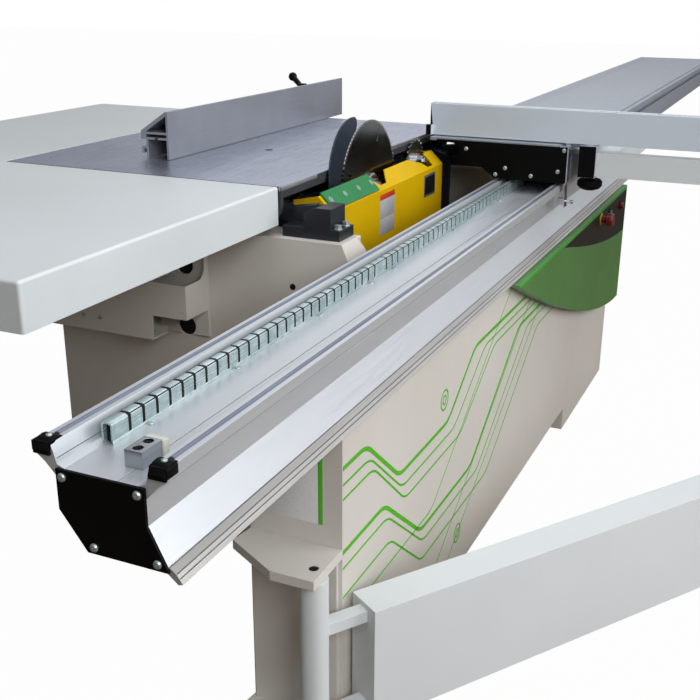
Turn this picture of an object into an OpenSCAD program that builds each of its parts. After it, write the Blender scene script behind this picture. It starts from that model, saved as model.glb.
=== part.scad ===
// Sliding table saw, in millimetres.
// +Y is the feed direction, +X the rip fence side, +Z up.
// The origin is on the floor at the centre of the four floor bolts.

/* [Saw blade] */
// Height of the table top above the floor
table_h = 880; // [860:5:900]
// Place of the blade plane along X
blade_x = -100; // [-103:1:-98]
// Place of the arbor along Y
blade_y = 110; // [90:5:120]
// Diameter of the main blade
blade_d = 315; // [300:5:315]
// Thickness of the main blade
blade_t = 3.2; // [2.2:0.2:3.6]
// How far the blade stands above the table
blade_rise = 82; // [70:1:85]
// Diameter of the arbor where the blade sits
arbor_d = 30; // [25:1:30]
// Number of teeth on the main blade
blade_teeth = 96; // [72:4:96]
// Diameter of the scoring blade
scoring_d = 120; // [100:5:120]
// Distance of the scoring arbor before the main arbor
scoring_gap = 300; // [290:1:305]
// Number of teeth on the scoring blade
scoring_teeth = 24; // [20:2:28]
// Thickness of the riving knife
knife_t = 2.8; // [2:0.2:3]

/* [Tables] */
// Gap from the blade plane to the edge of the iron table
table_gap = 8; // [7:0.5:10]
// Width of the iron table
table_w = 696; // [690:1:720]
// Length of the iron table
table_l = 1000; // [990:5:1010]
// Reach of the iron table past the arbor
table_reach = 420; // [415:1:425]
// Thickness of the iron plate
plate_t = 14; // [12:1:16]
// Depth of the iron table with its ribs
table_deep = 98; // [95:1:100]
// Thickness of the ribs
rib_t = 10; // [8:1:14]
// Depth of the folded skirt of an extension table
skirt_h = 77; // [70:1:85]
// Thickness of the sheet of the extension tables
sheet_t = 3; // [2:0.5:4]
// Length of the outfeed extension table
outfeed_l = 749; // [700:5:800]
// Width of the outfeed extension table
outfeed_w = 1000; // [950:10:1050]
// Width of the side extension table
side_w = 500; // [400:10:600]

/* [Base] */
// Length of the beam pedestal
pedestal_l = 2110; // [2090:10:2130]
// Height of the open space between the feet
foot_h = 68; // [50:2:80]
// Length of each foot of the pedestal
foot_l = 550; // [540:5:600]
// Place of the outer side of the pedestal
pedestal_x = -469; // [-472:1:-468]
// Place of the fence side of the cabinet
cabinet_x = 470; // [460:2:480]
// Depth of the folded flange round the cabinet's ends
flange_d = 90; // [80:1:92]
// Thickness of the cabinet's sheet
wall_t = 5; // [4:0.5:6]
// Distance between the floor bolts along X
bolt_span_x = 860; // [840:5:870]
// Distance between the floor bolts along Y
bolt_span_y = 1060; // [1050:5:1070]
// Diameter of the floor bolt holes
bolt_d = 14; // [12:1:18]

/* [Beam] */
// Length of the beam
beam_l = 3000; // [2900:20:3100]
// Reach of the beam past the arbor
beam_reach = 1394; // [1380:2:1410]
// Width over both rails
rail_span = 178; // [176:1:180]
// Width of one rail
rail_w = 22; // [20:1:24]
// Depth of the channel below the rails
channel_deep = 28; // [26:1:32]
// Depth of the beam below its channel
beam_deep = 99; // [96:1:102]
// Wall of the beam
beam_wall = 6; // [5:0.5:7]
// Diameter of the guide rods
rod_d = 10; // [8:1:10]
// Pitch of the index rack's slots
rack_pitch = 28; // [26:1:32]
// Width of a slot in the index rack
rack_slot = 4; // [3:0.5:6]
// Height of the index rack
rack_h = 28; // [24:1:29]
// Number of teeth on the index rack
rack_teeth = 48; // [40:1:52]

/* [Sliding table] */
// Length of the sliding table
carriage_l = 3200; // [3100:20:3300]
// Distance of the sliding table's end before the arbor, at rest
carriage_gap = 355; // [350:1:370]
// Depth of the sliding table's profile
carriage_deep = 90; // [86:1:92]
// Width of the sliding table's top
carriage_w = 365; // [363:1:370]
// Width of the thin lip beside the blade
lip_w = 66; // [60:1:66]
// Thickness of the lip
lip_t = 8; // [6:0.5:8]
// Height of the running gap that the roller cages fill
cage_gap = 9; // [8:0.5:12]
// Length of the roller cages
cage_l = 1160; // [1100:10:1200]

/* [Crosscut] */
// Length of the outrigger frame along X
outrigger_w = 1280; // [1200:10:1300]
// Depth of the outrigger frame along Y
outrigger_d = 590; // [560:5:600]
// Height of the outrigger frame's tube
frame_tube_h = 58; // [50:1:60]
// Width of the outrigger frame's tube
frame_tube_w = 40; // [30:1:50]
// Length of the crosscut fence
crosscut_l = 1790; // [1700:10:1820]
// Height of the crosscut fence
crosscut_h = 80; // [70:1:90]
// Depth of the crosscut fence
crosscut_d = 40; // [38:1:44]

/* [Rip fence] */
// Distance of the rip fence's face from the blade plane
rip_x = 380; // [300:1:500]
// Height of the rip fence
rip_h = 106; // [100:1:112]
// Width of the rip fence's foot
rip_w = 74; // [72:1:84]
// Length of the rip fence
rip_l = 925; // [900:5:950]
// Reach of the rip fence past the arbor
rip_reach = 255; // [240:5:270]
// Diameter of the round rail of the rip fence
fence_rail_d = 40; // [36:1:44]

/* [Swing arm] */
// Width of the outer arm tube
arm_w = 67; // [60:1:70]
// Height of the outer arm tube
arm_h = 210; // [190:5:220]
// Length from the pivot to the end of the outer tube
arm_l = 1250; // [1200:10:1300]
// Length from the pivot to the post
post_r = 2376; // [2370:1:2380]
// Height of the top of the arm
arm_top = 344; // [330:1:350]
// Wall of the arm tubes
arm_wall = 4; // [3:0.5:5]
// Diameter of the swing arm's pin
arm_pin_d = 30; // [24:1:32]
// Diameter of the pin hole in the console's top plate
pin_hole_d = 16; // [14:1:18]

/* [Clearances] */
// Running clearance on a radius
run = 0.05; // [0.03:0.01:0.08]
// Gap between pieces that pass each other
gap = 0.3; // [0.25:0.05:0.4]

/* [Hidden] */
$fn = 40;

// Levels, from the table top down
plate_z = table_h - plate_t;
flange_z = table_h - table_deep;
carriage_z = table_h - carriage_deep;
rod_top = carriage_z - cage_gap;
rod_stand = 2;
rail_z = rod_top - rod_stand;
channel_z = rail_z - channel_deep;
beam_z = channel_z - beam_deep;
support_t = 12;
pedestal_z = beam_z - support_t;
arbor_z = table_h + blade_rise - blade_d / 2;

// Places along Y
table_y1 = blade_y + table_reach;
table_y0 = table_y1 - table_l;
cabinet_y1 = table_y1 + 22;
cabinet_y0 = table_y0 - 22;
pedestal_y0 = -pedestal_l / 2 - 4;
pedestal_y1 = pedestal_y0 + pedestal_l;
beam_y1 = blade_y + beam_reach;
beam_y0 = beam_y1 - beam_l;
carriage_y1 = blade_y - carriage_gap;
carriage_y0 = carriage_y1 - carriage_l;
outfeed_y1 = table_y1 + outfeed_l;
scoring_y = blade_y - scoring_gap;

// Places along X
table_x0 = blade_x + table_gap;
table_x1 = table_x0 + table_w;
beam_x = -384;
channel_half = rail_span / 2 - 31;
body_half = channel_half + 2;
carriage_x1 = blade_x - 21;
carriage_x0 = carriage_x1 - carriage_w;
rip_face = blade_x + rip_x;

// The saw unit tilts about this line, which runs along Y
tilt_x = blade_x;
tilt_z = table_h;

// Shapes shared by many pieces

// A box from its low corner to its high corner
module box(low, high) {
    translate(low) cube(high - low);
}

// An outline in X and Z, drawn out along Y
module prism_y(points, y0, y1) {
    translate([0, y1, 0]) rotate([90, 0, 0]) linear_extrude(y1 - y0) polygon(points);
}

// An outline in Y and Z, drawn out along X
module prism_x(points, x0, x1) {
    translate([x0, 0, 0]) rotate([90, 0, 90]) linear_extrude(x1 - x0) polygon(points);
}

// A round bar along X
module bar_x(x0, x1, y, z, r) {
    translate([x0, y, z]) rotate([0, 90, 0]) cylinder(h = x1 - x0, r = r);
}

// A round bar along Y
module bar_y(y0, y1, x, z, r) {
    translate([x, y1, z]) rotate([90, 0, 0]) cylinder(h = y1 - y0, r = r);
}

// A round bar along Z
module bar_z(z0, z1, x, y, r) {
    translate([x, y, z0]) cylinder(h = z1 - z0, r = r);
}

// A pan head screw that looks along +Y, its seat at y
module pan_head_y(x, y, z, r, h) {
    translate([x, y, z]) rotate([-90, 0, 0]) rotate_extrude()
        polygon([[0, 0], [r, 0], [r, h * 0.4], [r * 0.75, h * 0.85], [0, h]]);
}

// Base

// The section of the pedestal: its top is as wide as the beam's foot
pedestal_in = -305;
function pedestal_section(t) = [
    [pedestal_x + t, foot_h + (t > 0 ? -1 : 0)],
    [pedestal_x + t, pedestal_z - t],
    [beam_x + 39 - t, pedestal_z - t],
    [pedestal_in - t, pedestal_z - 80 - t / 2],
    [pedestal_in - t, foot_h + (t > 0 ? -1 : 0)]];

// The section of the cabinet, with the slanted corner beside the beam
function cabinet_section(t) = [
    [cabinet_x - t, foot_h - (t > 0 ? 1 : 0)],
    [cabinet_x - t, flange_z - t],
    [blade_x - 135 + t / 2, flange_z - t],
    [pedestal_in + t, flange_z - 160],
    [pedestal_in + t, foot_h - (t > 0 ? 1 : 0)]];

// One foot, open towards the inside, with its floor plate and bolt hole
module foot(x0, x1, y0, y1, hole_x, hole_y) {
    difference() {
        box([x0, y0, 0], [x1, y1, foot_h]);
        box([x0 + wall_t, y0 + wall_t, 8], [x1 - wall_t, y1 - wall_t, foot_h + 1]);
        bar_z(-1, 9, hole_x, hole_y, bolt_d / 2);
    }
}

door_y0 = -190;
door_y1 = 330;
door_z0 = 150;
door_z1 = 620;

module base_frame() {
    hx = bolt_span_x / 2;
    hy = bolt_span_y / 2;
    color("gainsboro") difference() {
        union() {
            difference() {
                prism_y(pedestal_section(0), pedestal_y0, pedestal_y1);
                prism_y(pedestal_section(wall_t), pedestal_y0 + wall_t, pedestal_y1 - wall_t);
            }
            difference() {
                prism_y(cabinet_section(0), cabinet_y0, cabinet_y1);
                prism_y(cabinet_section(wall_t), cabinet_y0 + wall_t, cabinet_y1 - wall_t);
                box([pedestal_in - 1, cabinet_y0 + flange_d, pedestal_z - 80],
                    [cabinet_x - wall_t, cabinet_y1 - flange_d, flange_z + 1]);
            }
            foot(pedestal_x, pedestal_in, pedestal_y0, pedestal_y0 + foot_l, -hx, -hy);
            foot(pedestal_x, pedestal_in, pedestal_y1 - foot_l, pedestal_y1, -hx, hy);
            foot(cabinet_x - 110, cabinet_x, cabinet_y0, cabinet_y0 + 110, hx, -hy);
            // the floor ear that holds the fourth bolt, outside the infeed wall
            box([cabinet_x - 110, -hy - 40, 0], [cabinet_x, cabinet_y0 + 1, 8]);
            // fixed halves of the door's hinges, with their pins
            for (z = hinge_z) {
                box([cabinet_x - 1, door_hinge_y - 7, z - 32], [door_hinge_x, door_hinge_y + 7, z - gap]);
                bar_z(z - 32, z - gap, door_hinge_x, door_hinge_y, 7);
                bar_z(z - 20, z + 50, door_hinge_x, door_hinge_y, hinge_pin_r);
            }
            foot(cabinet_x - 110, cabinet_x, cabinet_y1 - 110, cabinet_y1, hx, hy);
        }
        bar_z(-1, 9, hx, -hy, bolt_d / 2);
        // the service door's opening
        box([cabinet_x - wall_t - 1, door_y0 + 20, door_z0 + 20], [cabinet_x + 1, door_y1 - 20, door_z1 - 20]);
        // two tapped holes beside the beam
        bar_y(cabinet_y1 - wall_t - 1, cabinet_y1 + 1, blade_x - 27, 684, 4);
        bar_y(cabinet_y1 - wall_t - 1, cabinet_y1 + 1, blade_x - 3, 647, 4);
        // handwheel shafts and the dust outlet
        bar_y(cabinet_y0 - 1, cabinet_y0 + wall_t + 1, wheel_x[0], wheel_z, wheel_shaft_r + run);
        bar_y(cabinet_y0 - 1, cabinet_y0 + wall_t + 1, wheel_x[1], wheel_z, wheel_shaft_r + run);
        bar_y(cabinet_y0 - 1, cabinet_y0 + wall_t + 1, dust_x, dust_z, dust_d / 2 - 3);
        bar_x(cabinet_x - wall_t - 1, cabinet_x + 1, switch_y, switch_z, switch_r + run);
        // the slanted flaps beside the beam end in round corners
        for (side = [0, 1]) translate([0, side * (cabinet_y0 + cabinet_y1), 0]) mirror([0, side, 0])
            prism_x(concat([[cabinet_y1 - flange_d - 1, flange_z + 1]],
                [for (a = [90:15:180]) [cabinet_y1 - flange_d - 1 + flap_r * (1 + cos(a)),
                    flange_z + 1 - flap_r * (1 - sin(a))]]), pedestal_in - 1, blade_x - 136);
    }
}

flap_r = 38;

dust_x = 150;
dust_z = 190;
dust_d = 120;

module dust_port() {
    color("dimgray") difference() {
        union() {
            bar_y(cabinet_y0 - 70, cabinet_y0, dust_x, dust_z, dust_d / 2);
            bar_y(cabinet_y0 - 4, cabinet_y0, dust_x, dust_z, dust_d / 2 + 16);
        }
        bar_y(cabinet_y0 - 71, cabinet_y0 + 1, dust_x, dust_z, dust_d / 2 - 3);
    }
}

pivot_x = -452;
pivot_y = pedestal_y1 + 66;
console_z = 434;
console_t = 16;
console_low = 112;

module swing_arm_console() {
    outline = [[pedestal_x, pedestal_y1], [pedestal_x, pivot_y + 34], [pedestal_x + 74, pivot_y + 34],
        [pedestal_x + 171, pivot_y - 22], [pedestal_in, pedestal_y1]];
    color("gainsboro") union() {
        difference() {
            union() {
                translate([0, 0, console_z - console_t]) linear_extrude(console_t) polygon(outline);
                translate([0, 0, console_low - console_t]) linear_extrude(console_t) polygon(outline);
            }
            bar_z(console_low - 40, console_z + 1, pivot_x, pivot_y, pin_hole_d / 2);
        }
        box([pedestal_x + 6, pedestal_y1, console_low - 30], [pedestal_in - 6, pedestal_y1 + 8, console_z - 2]);
    }
}

module arm_pin() {
    color("dimgray") union() {
        bar_z(console_low + gap, console_z - console_t - gap, pivot_x, pivot_y, arm_pin_d / 2);
        bar_z(console_low - console_t + 2, console_z - 8, pivot_x, pivot_y, pin_hole_d / 2 - run);
    }
}

// Tables

module main_table() {
    y0 = table_y0;
    y1 = table_y1;
    edge_rib = 24;
    color("dimgray") difference() {
        union() {
            box([table_x0, y0, plate_z], [table_x1, y1, table_h]);
            // the thin rib beside the blade, which leaves room for the tilted saw
            box([table_x0, y0, table_h - edge_rib], [table_x0 + rib_t, y1, table_h]);
            // deep ribs round the other three sides and across
            box([table_x1 - rib_t, y0, flange_z], [table_x1, y1, table_h - 1]);
            for (y = [y0 + rib_t / 2, y1 - rib_t / 2])
                prism_y(concat([[table_x0, plate_z + 1]], [for (a = [0:15:90])
                    [table_x0 + end_rib_w * (1 - cos(a)), flange_z + end_rib_h * (1 - sin(a))]],
                    [[table_x1 - 1, flange_z], [table_x1 - 1, plate_z + 1]]), y - rib_t / 2, y + rib_t / 2);
            // the milled pad in the edge beside the blade
            box([table_x0 - 2, y1 - 204, table_h - 16], [table_x0 + 1, y1 - 164, table_h - 0.5]);
            for (x = [table_x0 + 330, table_x0 + 520])
                box([x, y0 + rib_t, flange_z], [x + rib_t, y1 - rib_t, plate_z + 1]);
            box([table_x0 + 330, blade_y - 60, flange_z + 30], [table_x1 - 1, blade_y - 60 + rib_t, plate_z + 1]);
        }
        // the hole in the top beside the rip fence, and the tapped hole in the edge
        bar_z(plate_z - 1, table_h + 1, blade_x + 252, blade_y + 23, 9.5);
        bar_x(table_x0 - 3, table_x0 + rib_t + 1, y1 - 177, table_h - 8, 3.5);
    }
}

// The end ribs of the iron table rise in an arc towards the blade
end_rib_w = 110;
end_rib_h = 58;

// A folded table: a plate with a skirt all round, its edges rounded off
module folded_table(x0, y0, x1, y1) {
    r = 5;
    difference() {
        union() {
            box([x0 + r, y0, table_h - skirt_h], [x1 - r, y1, table_h - r]);
            box([x0, y0 + r, table_h - skirt_h], [x1, y1 - r, table_h - r]);
            for (x = [x0 + r, x1 - r], y = [y0 + r, y1 - r]) bar_z(table_h - skirt_h, table_h - r, x, y, r);
            box([x0 + r, y0 + r, table_h - r - 1], [x1 - r, y1 - r, table_h]);
            for (y = [y0 + r, y1 - r]) bar_x(x0 + r, x1 - r, y, table_h - r, r);
            for (x = [x0 + r, x1 - r]) bar_y(y0 + r, y1 - r, x, table_h - r, r);
            for (x = [x0 + r, x1 - r], y = [y0 + r, y1 - r]) translate([x, y, table_h - r]) sphere(r);
        }
        box([x0 + sheet_t, y0 + sheet_t, table_h - skirt_h - 1], [x1 - sheet_t, y1 - sheet_t, table_h - sheet_t]);
    }
}

module outfeed_extension_table() {
    color("whitesmoke") folded_table(table_x0 + 5, table_y1, table_x0 + 5 + outfeed_w, outfeed_y1);
}

module side_extension_table() {
    color("whitesmoke") folded_table(table_x1, table_y0, table_x1 + side_w, table_y1);
}

// Folded brackets that carry the extension tables: a plate on the outfeed wall, a tray and a channel on it,
// and arms under the table
bracket_x0 = blade_x + 172;
bracket_x1 = cabinet_x - 15;
bracket_t = 6;
bracket_low = flange_z - 232;
tray_y1 = cabinet_y1 + 88;
tray_top = flange_z - 100;
tray_low = flange_z - 172;
tray_t = 3;
rail_channel_x0 = bracket_x0 + 85;
rail_channel_low = tray_low - 54;
bracket_hole_r = 22;
arm_x = [blade_x + 290, blade_x + 530];
arm_half = 25;
outer_arm_h = 95;

module table_arm(x) {
    y0 = cabinet_y1 + bracket_t;
    y1 = outfeed_y1 - 60;
    z1 = table_h - sheet_t;
    t = tray_t;
    difference() {
        prism_x([[y0 - 1, z1], [y1, z1], [y1, z1 - outer_arm_h], [tray_y1, tray_top - t], [y0 - 1, tray_top - t]],
            x - arm_half, x + arm_half);
        prism_x([[y0, z1 - t], [y1 - t, z1 - t], [y1 - t, z1 - outer_arm_h + t], [tray_y1 - t, tray_top],
            [y0, tray_top]], x - arm_half + t, x + arm_half + 1);
    }
}

// A stay under the side table, bolted flat to the cabinet's side
module side_stay(y) {
    x1 = table_x1 + side_w - 90;
    difference() {
        union() {
            prism_y([[cabinet_x, flange_z - 170], [cabinet_x, flange_z - 8], [table_x1 + 2, flange_z - 8],
                [table_x1 + 2, table_h - skirt_h - 6], [table_x1 + sheet_t + 4, table_h - skirt_h - 6],
                [table_x1 + sheet_t + 4, table_h - sheet_t], [x1, table_h - sheet_t], [x1, table_h - 60],
                [table_x1 + 8, table_h - 150]], y - 2, y + 2);
            box([cabinet_x, y - 1, flange_z - 170], [cabinet_x + 4, y + 34, flange_z - 8]);
            box([table_x1 + sheet_t + 4, y - 1, table_h - sheet_t - 4], [x1, y + 30, table_h - sheet_t]);
        }
        bar_y(y - 5, y + 5, cabinet_x + 50, flange_z - 90, 20);
        for (z = [flange_z - 140, flange_z - 40]) bar_x(cabinet_x - 1, cabinet_x + 5, y + 20, z, 5);
    }
}

module extension_brackets() {
    t = tray_t;
    color("gainsboro") {
        union() {
            // the plate, with its folded side and two holes
            difference() {
                union() {
                    box([bracket_x0, cabinet_y1, bracket_low], [bracket_x1, cabinet_y1 + bracket_t, flange_z]);
                    prism_x(concat([[cabinet_y1, flange_z], [cabinet_y1, tray_low]],
                        [[tray_y1, tray_low], [tray_y1, tray_top]],
                        [for (a = [0:15:90]) [cabinet_y1 + 38 - 24 * sin(a), tray_top + 38 - 24 * cos(a) - 14]],
                        [[cabinet_y1 + 14, flange_z]]), bracket_x0, bracket_x0 + t);
                }
                for (z = [bracket_low + 18, bracket_low + 153])
                    bar_y(cabinet_y1 - 1, cabinet_y1 + bracket_t + 1, bracket_x0 + 55, z, bracket_hole_r);
            }
            // the tray: floor, front and far side
            box([bracket_x0, cabinet_y1 + 1, tray_low], [bracket_x1, tray_y1, tray_low + t]);
            box([bracket_x0, tray_y1 - t, tray_low], [bracket_x1, tray_y1, tray_top]);
            box([bracket_x1 - t, cabinet_y1 + 1, tray_low], [bracket_x1, tray_y1, tray_top]);
            // the channel below it, open at its end and at its back
            difference() {
                box([rail_channel_x0, tray_y1 - 54, rail_channel_low], [bracket_x1, tray_y1, tray_low + 1]);
                box([rail_channel_x0 - 1, tray_y1 - 54 + t, rail_channel_low + t],
                    [bracket_x1 - t, tray_y1 - t, tray_low]);
                box([rail_channel_x0 - 1, tray_y1 - 55, rail_channel_low + 16],
                    [bracket_x1 - t, tray_y1 - 50, tray_low - 16]);
            }
            for (x = arm_x) table_arm(x);
        }
        for (y = [table_y0 + 160, table_y1 - 170]) side_stay(y);
    }
}

// Rip fence rail at the infeed edge
fence_rail_y = table_y0 - 62;
fence_rail_z = table_h - 62;
fence_rail_x0 = table_x0 + 40;
fence_rail_x1 = table_x1 + side_w - 70;

module fence_rail() {
    color("silver") bar_x(fence_rail_x0, fence_rail_x1, fence_rail_y, fence_rail_z, fence_rail_d / 2);
}

// The brackets hold the rail from the table's side, so that the fence can pass them
module fence_rail_brackets() {
    r = fence_rail_d / 2;
    color("dimgray") for (x = [fence_rail_x0 + 70, table_x1 - 60]) difference() {
        prism_x([[fence_rail_y + 2, fence_rail_z], [fence_rail_y + 2, fence_rail_z - r - 12],
            [table_y0, fence_rail_z - r - 12], [table_y0, fence_rail_z + 30], [table_y0 - 14, fence_rail_z + 12],
            [fence_rail_y + 8, fence_rail_z + 12]], x - 12, x + 12);
        bar_x(x - 13, x + 13, fence_rail_y, fence_rail_z, r);
    }
}

// Beam

// Outline of the beam's body, w inside the outer face
function body_outline(w) = [
    [beam_x + body_half - w, channel_z - w],
    [beam_x + body_half - w, channel_z - 51 + w / 3],
    [beam_x + 24 - w / 2, beam_z + w],
    [beam_x - 86 + w * 1.6, beam_z + w],
    [beam_x - body_half + w, channel_z - 47 - w / 3],
    [beam_x - body_half + w, channel_z - w]];

// Outline of one rail, for the side with the sign s
function rail_outline(s) = [for (p = [
    [channel_half - 8, channel_z - beam_wall],
    [channel_half - 8, channel_z],
    [channel_half + 2, channel_z + 4],
    [rail_span / 2 - rail_w - 3, rail_z - 10],
    [rail_span / 2 - rail_w, rail_z],
    [rail_span / 2, rail_z],
    [rail_span / 2, rail_z - 15],
    [rail_span / 2 - 12, rail_z - 24],
    [body_half, rail_z - 42],
    [body_half, channel_z - beam_wall - 14],
    [body_half - 6, channel_z - beam_wall - 14]]) [beam_x + s * p[0], p[1]]];

rod_x = rail_span / 2 - rail_w / 2;

module beam() {
    color("silver") difference() {
        union() {
            difference() {
                prism_y(body_outline(0), beam_y0, beam_y1);
                prism_y(body_outline(beam_wall), beam_y0 - 1, beam_y1 + 1);
            }
            for (s = [-1, 1]) prism_y(rail_outline(s), beam_y0, beam_y1);
            // the stepped lip along the foot, on the operator's side
            prism_y([[beam_x - 84, beam_z + 6], [beam_x - 93, beam_z - 1], [beam_x - 97, beam_z - 6],
                [beam_x - 101, beam_z - 12], [beam_x - 95, beam_z - 14], [beam_x - 78, beam_z]],
                beam_y0, beam_y1);
        }
        for (s = [-1, 1])
            bar_y(beam_y0 - 1, beam_y1 + 1, beam_x + s * rod_x, rod_top - rod_d / 2, rod_d / 2 + run);
        // a fine groove along the channel floor
        box([beam_x - 24, beam_y0 - 1, channel_z - 1.5], [beam_x - 22, beam_y1 + 1, channel_z + 1]);
    }
}

module guide_rods() {
    color("lightsteelblue") for (s = [-1, 1])
        bar_y(beam_y0 + 26, beam_y1 - 26, beam_x + s * rod_x, rod_top - rod_d / 2, rod_d / 2);
}

beam_screw_at = [[body_half - 9, -9], [-body_half + 9, -9], [14, -90], [-72, -90]];

module beam_end_plates() {
    color([0.03, 0.03, 0.03]) {
        prism_y(body_outline(0), beam_y1, beam_y1 + 4);
        prism_y(body_outline(0), beam_y0 - 4, beam_y0);
    }
}

// Screws and bolts that sit on the fixed body
module base_fasteners() {
    color("lightgray") {
        for (p = beam_screw_at) {
            pan_head_y(beam_x + p[0], beam_y1 + 4, channel_z + p[1], 5.5, 4);
            mirror([0, 1, 0]) pan_head_y(beam_x + p[0], -beam_y0 + 4, channel_z + p[1], 5.5, 4);
        }
        for (d = bolt_step, end = [0, 1]) {
            y = end == 0 ? trunnion_y0 + d : cabinet_y0 + cabinet_y1 - trunnion_y0 - d;
            bar_z(flange_z + trunnion_step, flange_z + trunnion_step + 2, bolt_x, y, 9);
            translate([bolt_x, y, flange_z + trunnion_step + 2]) cylinder(h = 7, r = 7.5, $fn = 6);
        }
    }
}

// A cap hooks over the end of a rail: a round nosed front and a flap with a screw on top
module rail_cap(s, y) {
    half = rail_w / 2 + 1;
    x = beam_x + s * rod_x;
    difference() {
        union() {
            prism_x([[y + gap, rail_z - 33], [y + gap, rail_z + 4], [y + 9, rail_z + 4], [y + 14, rail_z + 1],
                [y + 16, rail_z - 5], [y + 14, rail_z - 26], [y + 8, rail_z - 33]], x - half, x + half);
            box([x - half, y - cap_back, rail_z + 0.1], [x + half, y + 1, rail_z + 4]);
            bar_z(rail_z + 3, rail_z + 6, x, y - cap_back / 2, 5);
        }
        bar_y(y - cap_back - 1, y + 0.2, x, rod_top - rod_d / 2, rod_d / 2 + run);
    }
}

cap_back = 22;

module rail_end_caps() {
    color([0.05, 0.05, 0.05]) for (s = [-1, 1]) {
        rail_cap(s, beam_y1);
        translate([0, beam_y0 + beam_y1, 0]) mirror([0, 1, 0]) rail_cap(s, beam_y1);
    }
}

// Index rack: a folded strip with slots, and one wide tooth
rack_x = beam_x + channel_half - 12;
rack_w = 15;
rack_y1 = beam_y1 - 87;
rack_wide = 9;
function rack_step(i) = i > rack_wide ? (i + 1) * rack_pitch : i * rack_pitch;

module index_rack() {
    y0 = rack_y1 - rack_step(rack_teeth);
    color("darkseagreen") difference() {
        prism_y([[rack_x - rack_w, channel_z], [rack_x - rack_w, channel_z + rack_h - 4],
            [rack_x - rack_w + 1.2, channel_z + rack_h - 1.2], [rack_x - rack_w + 4, channel_z + rack_h],
            [rack_x - 3, channel_z + rack_h], [rack_x, channel_z + rack_h - 3], [rack_x, channel_z]], y0, rack_y1);
        box([rack_x - rack_w + 3, y0 - 1, channel_z + 3], [rack_x + 1, rack_y1 + 1, channel_z + rack_h - 3]);
        for (i = [1:rack_teeth])
            box([rack_x - rack_w - 1, rack_y1 - rack_step(i), channel_z + 4],
                [rack_x + 1, rack_y1 - rack_step(i) + rack_slot, channel_z + rack_h + 1]);
    }
}

stop_x = beam_x - 21;
stop_y = beam_y1 - 53;

module end_stops() {
    color("silver") for (s = [0, 1]) {
        y = s == 0 ? stop_y : beam_y0 + 53;
        difference() {
            box([stop_x - 12, y - 20, channel_z], [stop_x + 12, y + 20, channel_z + 22]);
            for (d = [-10, 10]) bar_z(channel_z + 8, channel_z + 23, stop_x, y + d, 6.5);
        }
    }
}

module stop_bumpers() {
    color("ivory") {
        box([stop_x - 14, stop_y - 30, channel_z + gap], [stop_x + 14, stop_y - 20, channel_z + 20]);
        box([stop_x - 14, beam_y0 + 73, channel_z + gap], [stop_x + 14, beam_y0 + 83, channel_z + 20]);
    }
}

module beam_supports() {
    color("dimgray") for (y = [pedestal_y0 + 70, -360, 360, pedestal_y1 - 70])
        box([beam_x - 78, y - 45, pedestal_z], [beam_x + 20, y + 45, beam_z]);
}

// Control fairing on the pedestal's side
fairing_l = 1290;
fairing_y1 = pedestal_y1 - 857;
fairing_y0 = fairing_y1 - fairing_l;
fairing_t = 29;
fairing_in = pedestal_x;
button_r = 10;

// The lower edge of the fairing falls along a curve
function fairing_low(u) = pedestal_z - 4 - 374 * (1 - pow(1 - u, 1.5));
function fairing_edge(n) = [for (i = [0:n]) [fairing_y1 + (fairing_y0 - fairing_y1) * i / n, fairing_low(i / n)]];
function panel_low(u) = pedestal_z - 12 - 137 * (1 - pow(1 - u, 1.5));
panel_step = 420;
panel_y1 = fairing_y1 - panel_step;
panel_y0 = fairing_y0 + 6;

module control_fairing() {
    top = pedestal_z - 2;
    color([0.36, 0.55, 0.33]) difference() {
        prism_x(concat([[fairing_y1, top]], fairing_edge(16), [[fairing_y0, top]]),
            fairing_in - fairing_t, fairing_in);
        prism_x([[fairing_y1 - 60, top - 14], [fairing_y0 + 12, top - 330], [fairing_y0 + 12, top - 14]],
            fairing_in - fairing_t + 4, fairing_in + 1);
        prism_x(panel_outline(0), fairing_in - fairing_t - 1, fairing_in - fairing_t + 3);
        for (b = button_place) bar_x(fairing_in - fairing_t - 1, fairing_in + 1, b[0], b[1], button_r + gap);
    }
}

function panel_outline(c) = concat(
    [[panel_y1 - 3 * c, pedestal_z - 14 - c]],
    [for (i = [1:10]) [panel_y1 + (panel_y0 - panel_y1) * i / 10 + (i == 10 ? c : 0), panel_low(i / 10) + c]],
    [[panel_y0 + c, pedestal_z - 14 - c]]);

module control_panel() {
    color([0.1, 0.1, 0.1]) difference() {
        prism_x(panel_outline(0.1), fairing_in - fairing_t, fairing_in - fairing_t + 3);
        for (b = button_place) bar_x(fairing_in - fairing_t - 1, fairing_in - fairing_t + 4, b[0], b[1],
            button_r + gap);
    }
}

// Buttons, each as its place in Y and Z, measured from the fairing's low end and from the pedestal's top
button_place = [[fairing_y0 + 407, pedestal_z - 34], [fairing_y0 + 280, pedestal_z - 40],
    [fairing_y0 + 109, pedestal_z - 49]];
button_face = fairing_in - fairing_t;

// A button turned about X, its outline given as pairs of radius and height from the face
module turned_button(place, profile) {
    translate([button_face, place[0], place[1]]) rotate([0, -90, 0]) rotate_extrude() polygon(profile);
}

module emergency_stop() {
    color("firebrick") turned_button(button_place[0], [[0, -18], [button_r, -18], [button_r, 14], [20, 18], [20, 32],
        [17, 37], [0, 39]]);
}

module start_button() {
    color("seagreen") turned_button(button_place[1], [[0, -18], [button_r, -18], [button_r, 6],
        [button_r - 1, 8], [0, 8]]);
}

module stop_button() {
    color("firebrick") turned_button(button_place[2], [[0, -18], [button_r, -18], [button_r, 10],
        [button_r - 1, 12], [0, 12]]);
}

switch_y = cabinet_y0 + 82;
switch_z = 600;
switch_r = 6;

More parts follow.
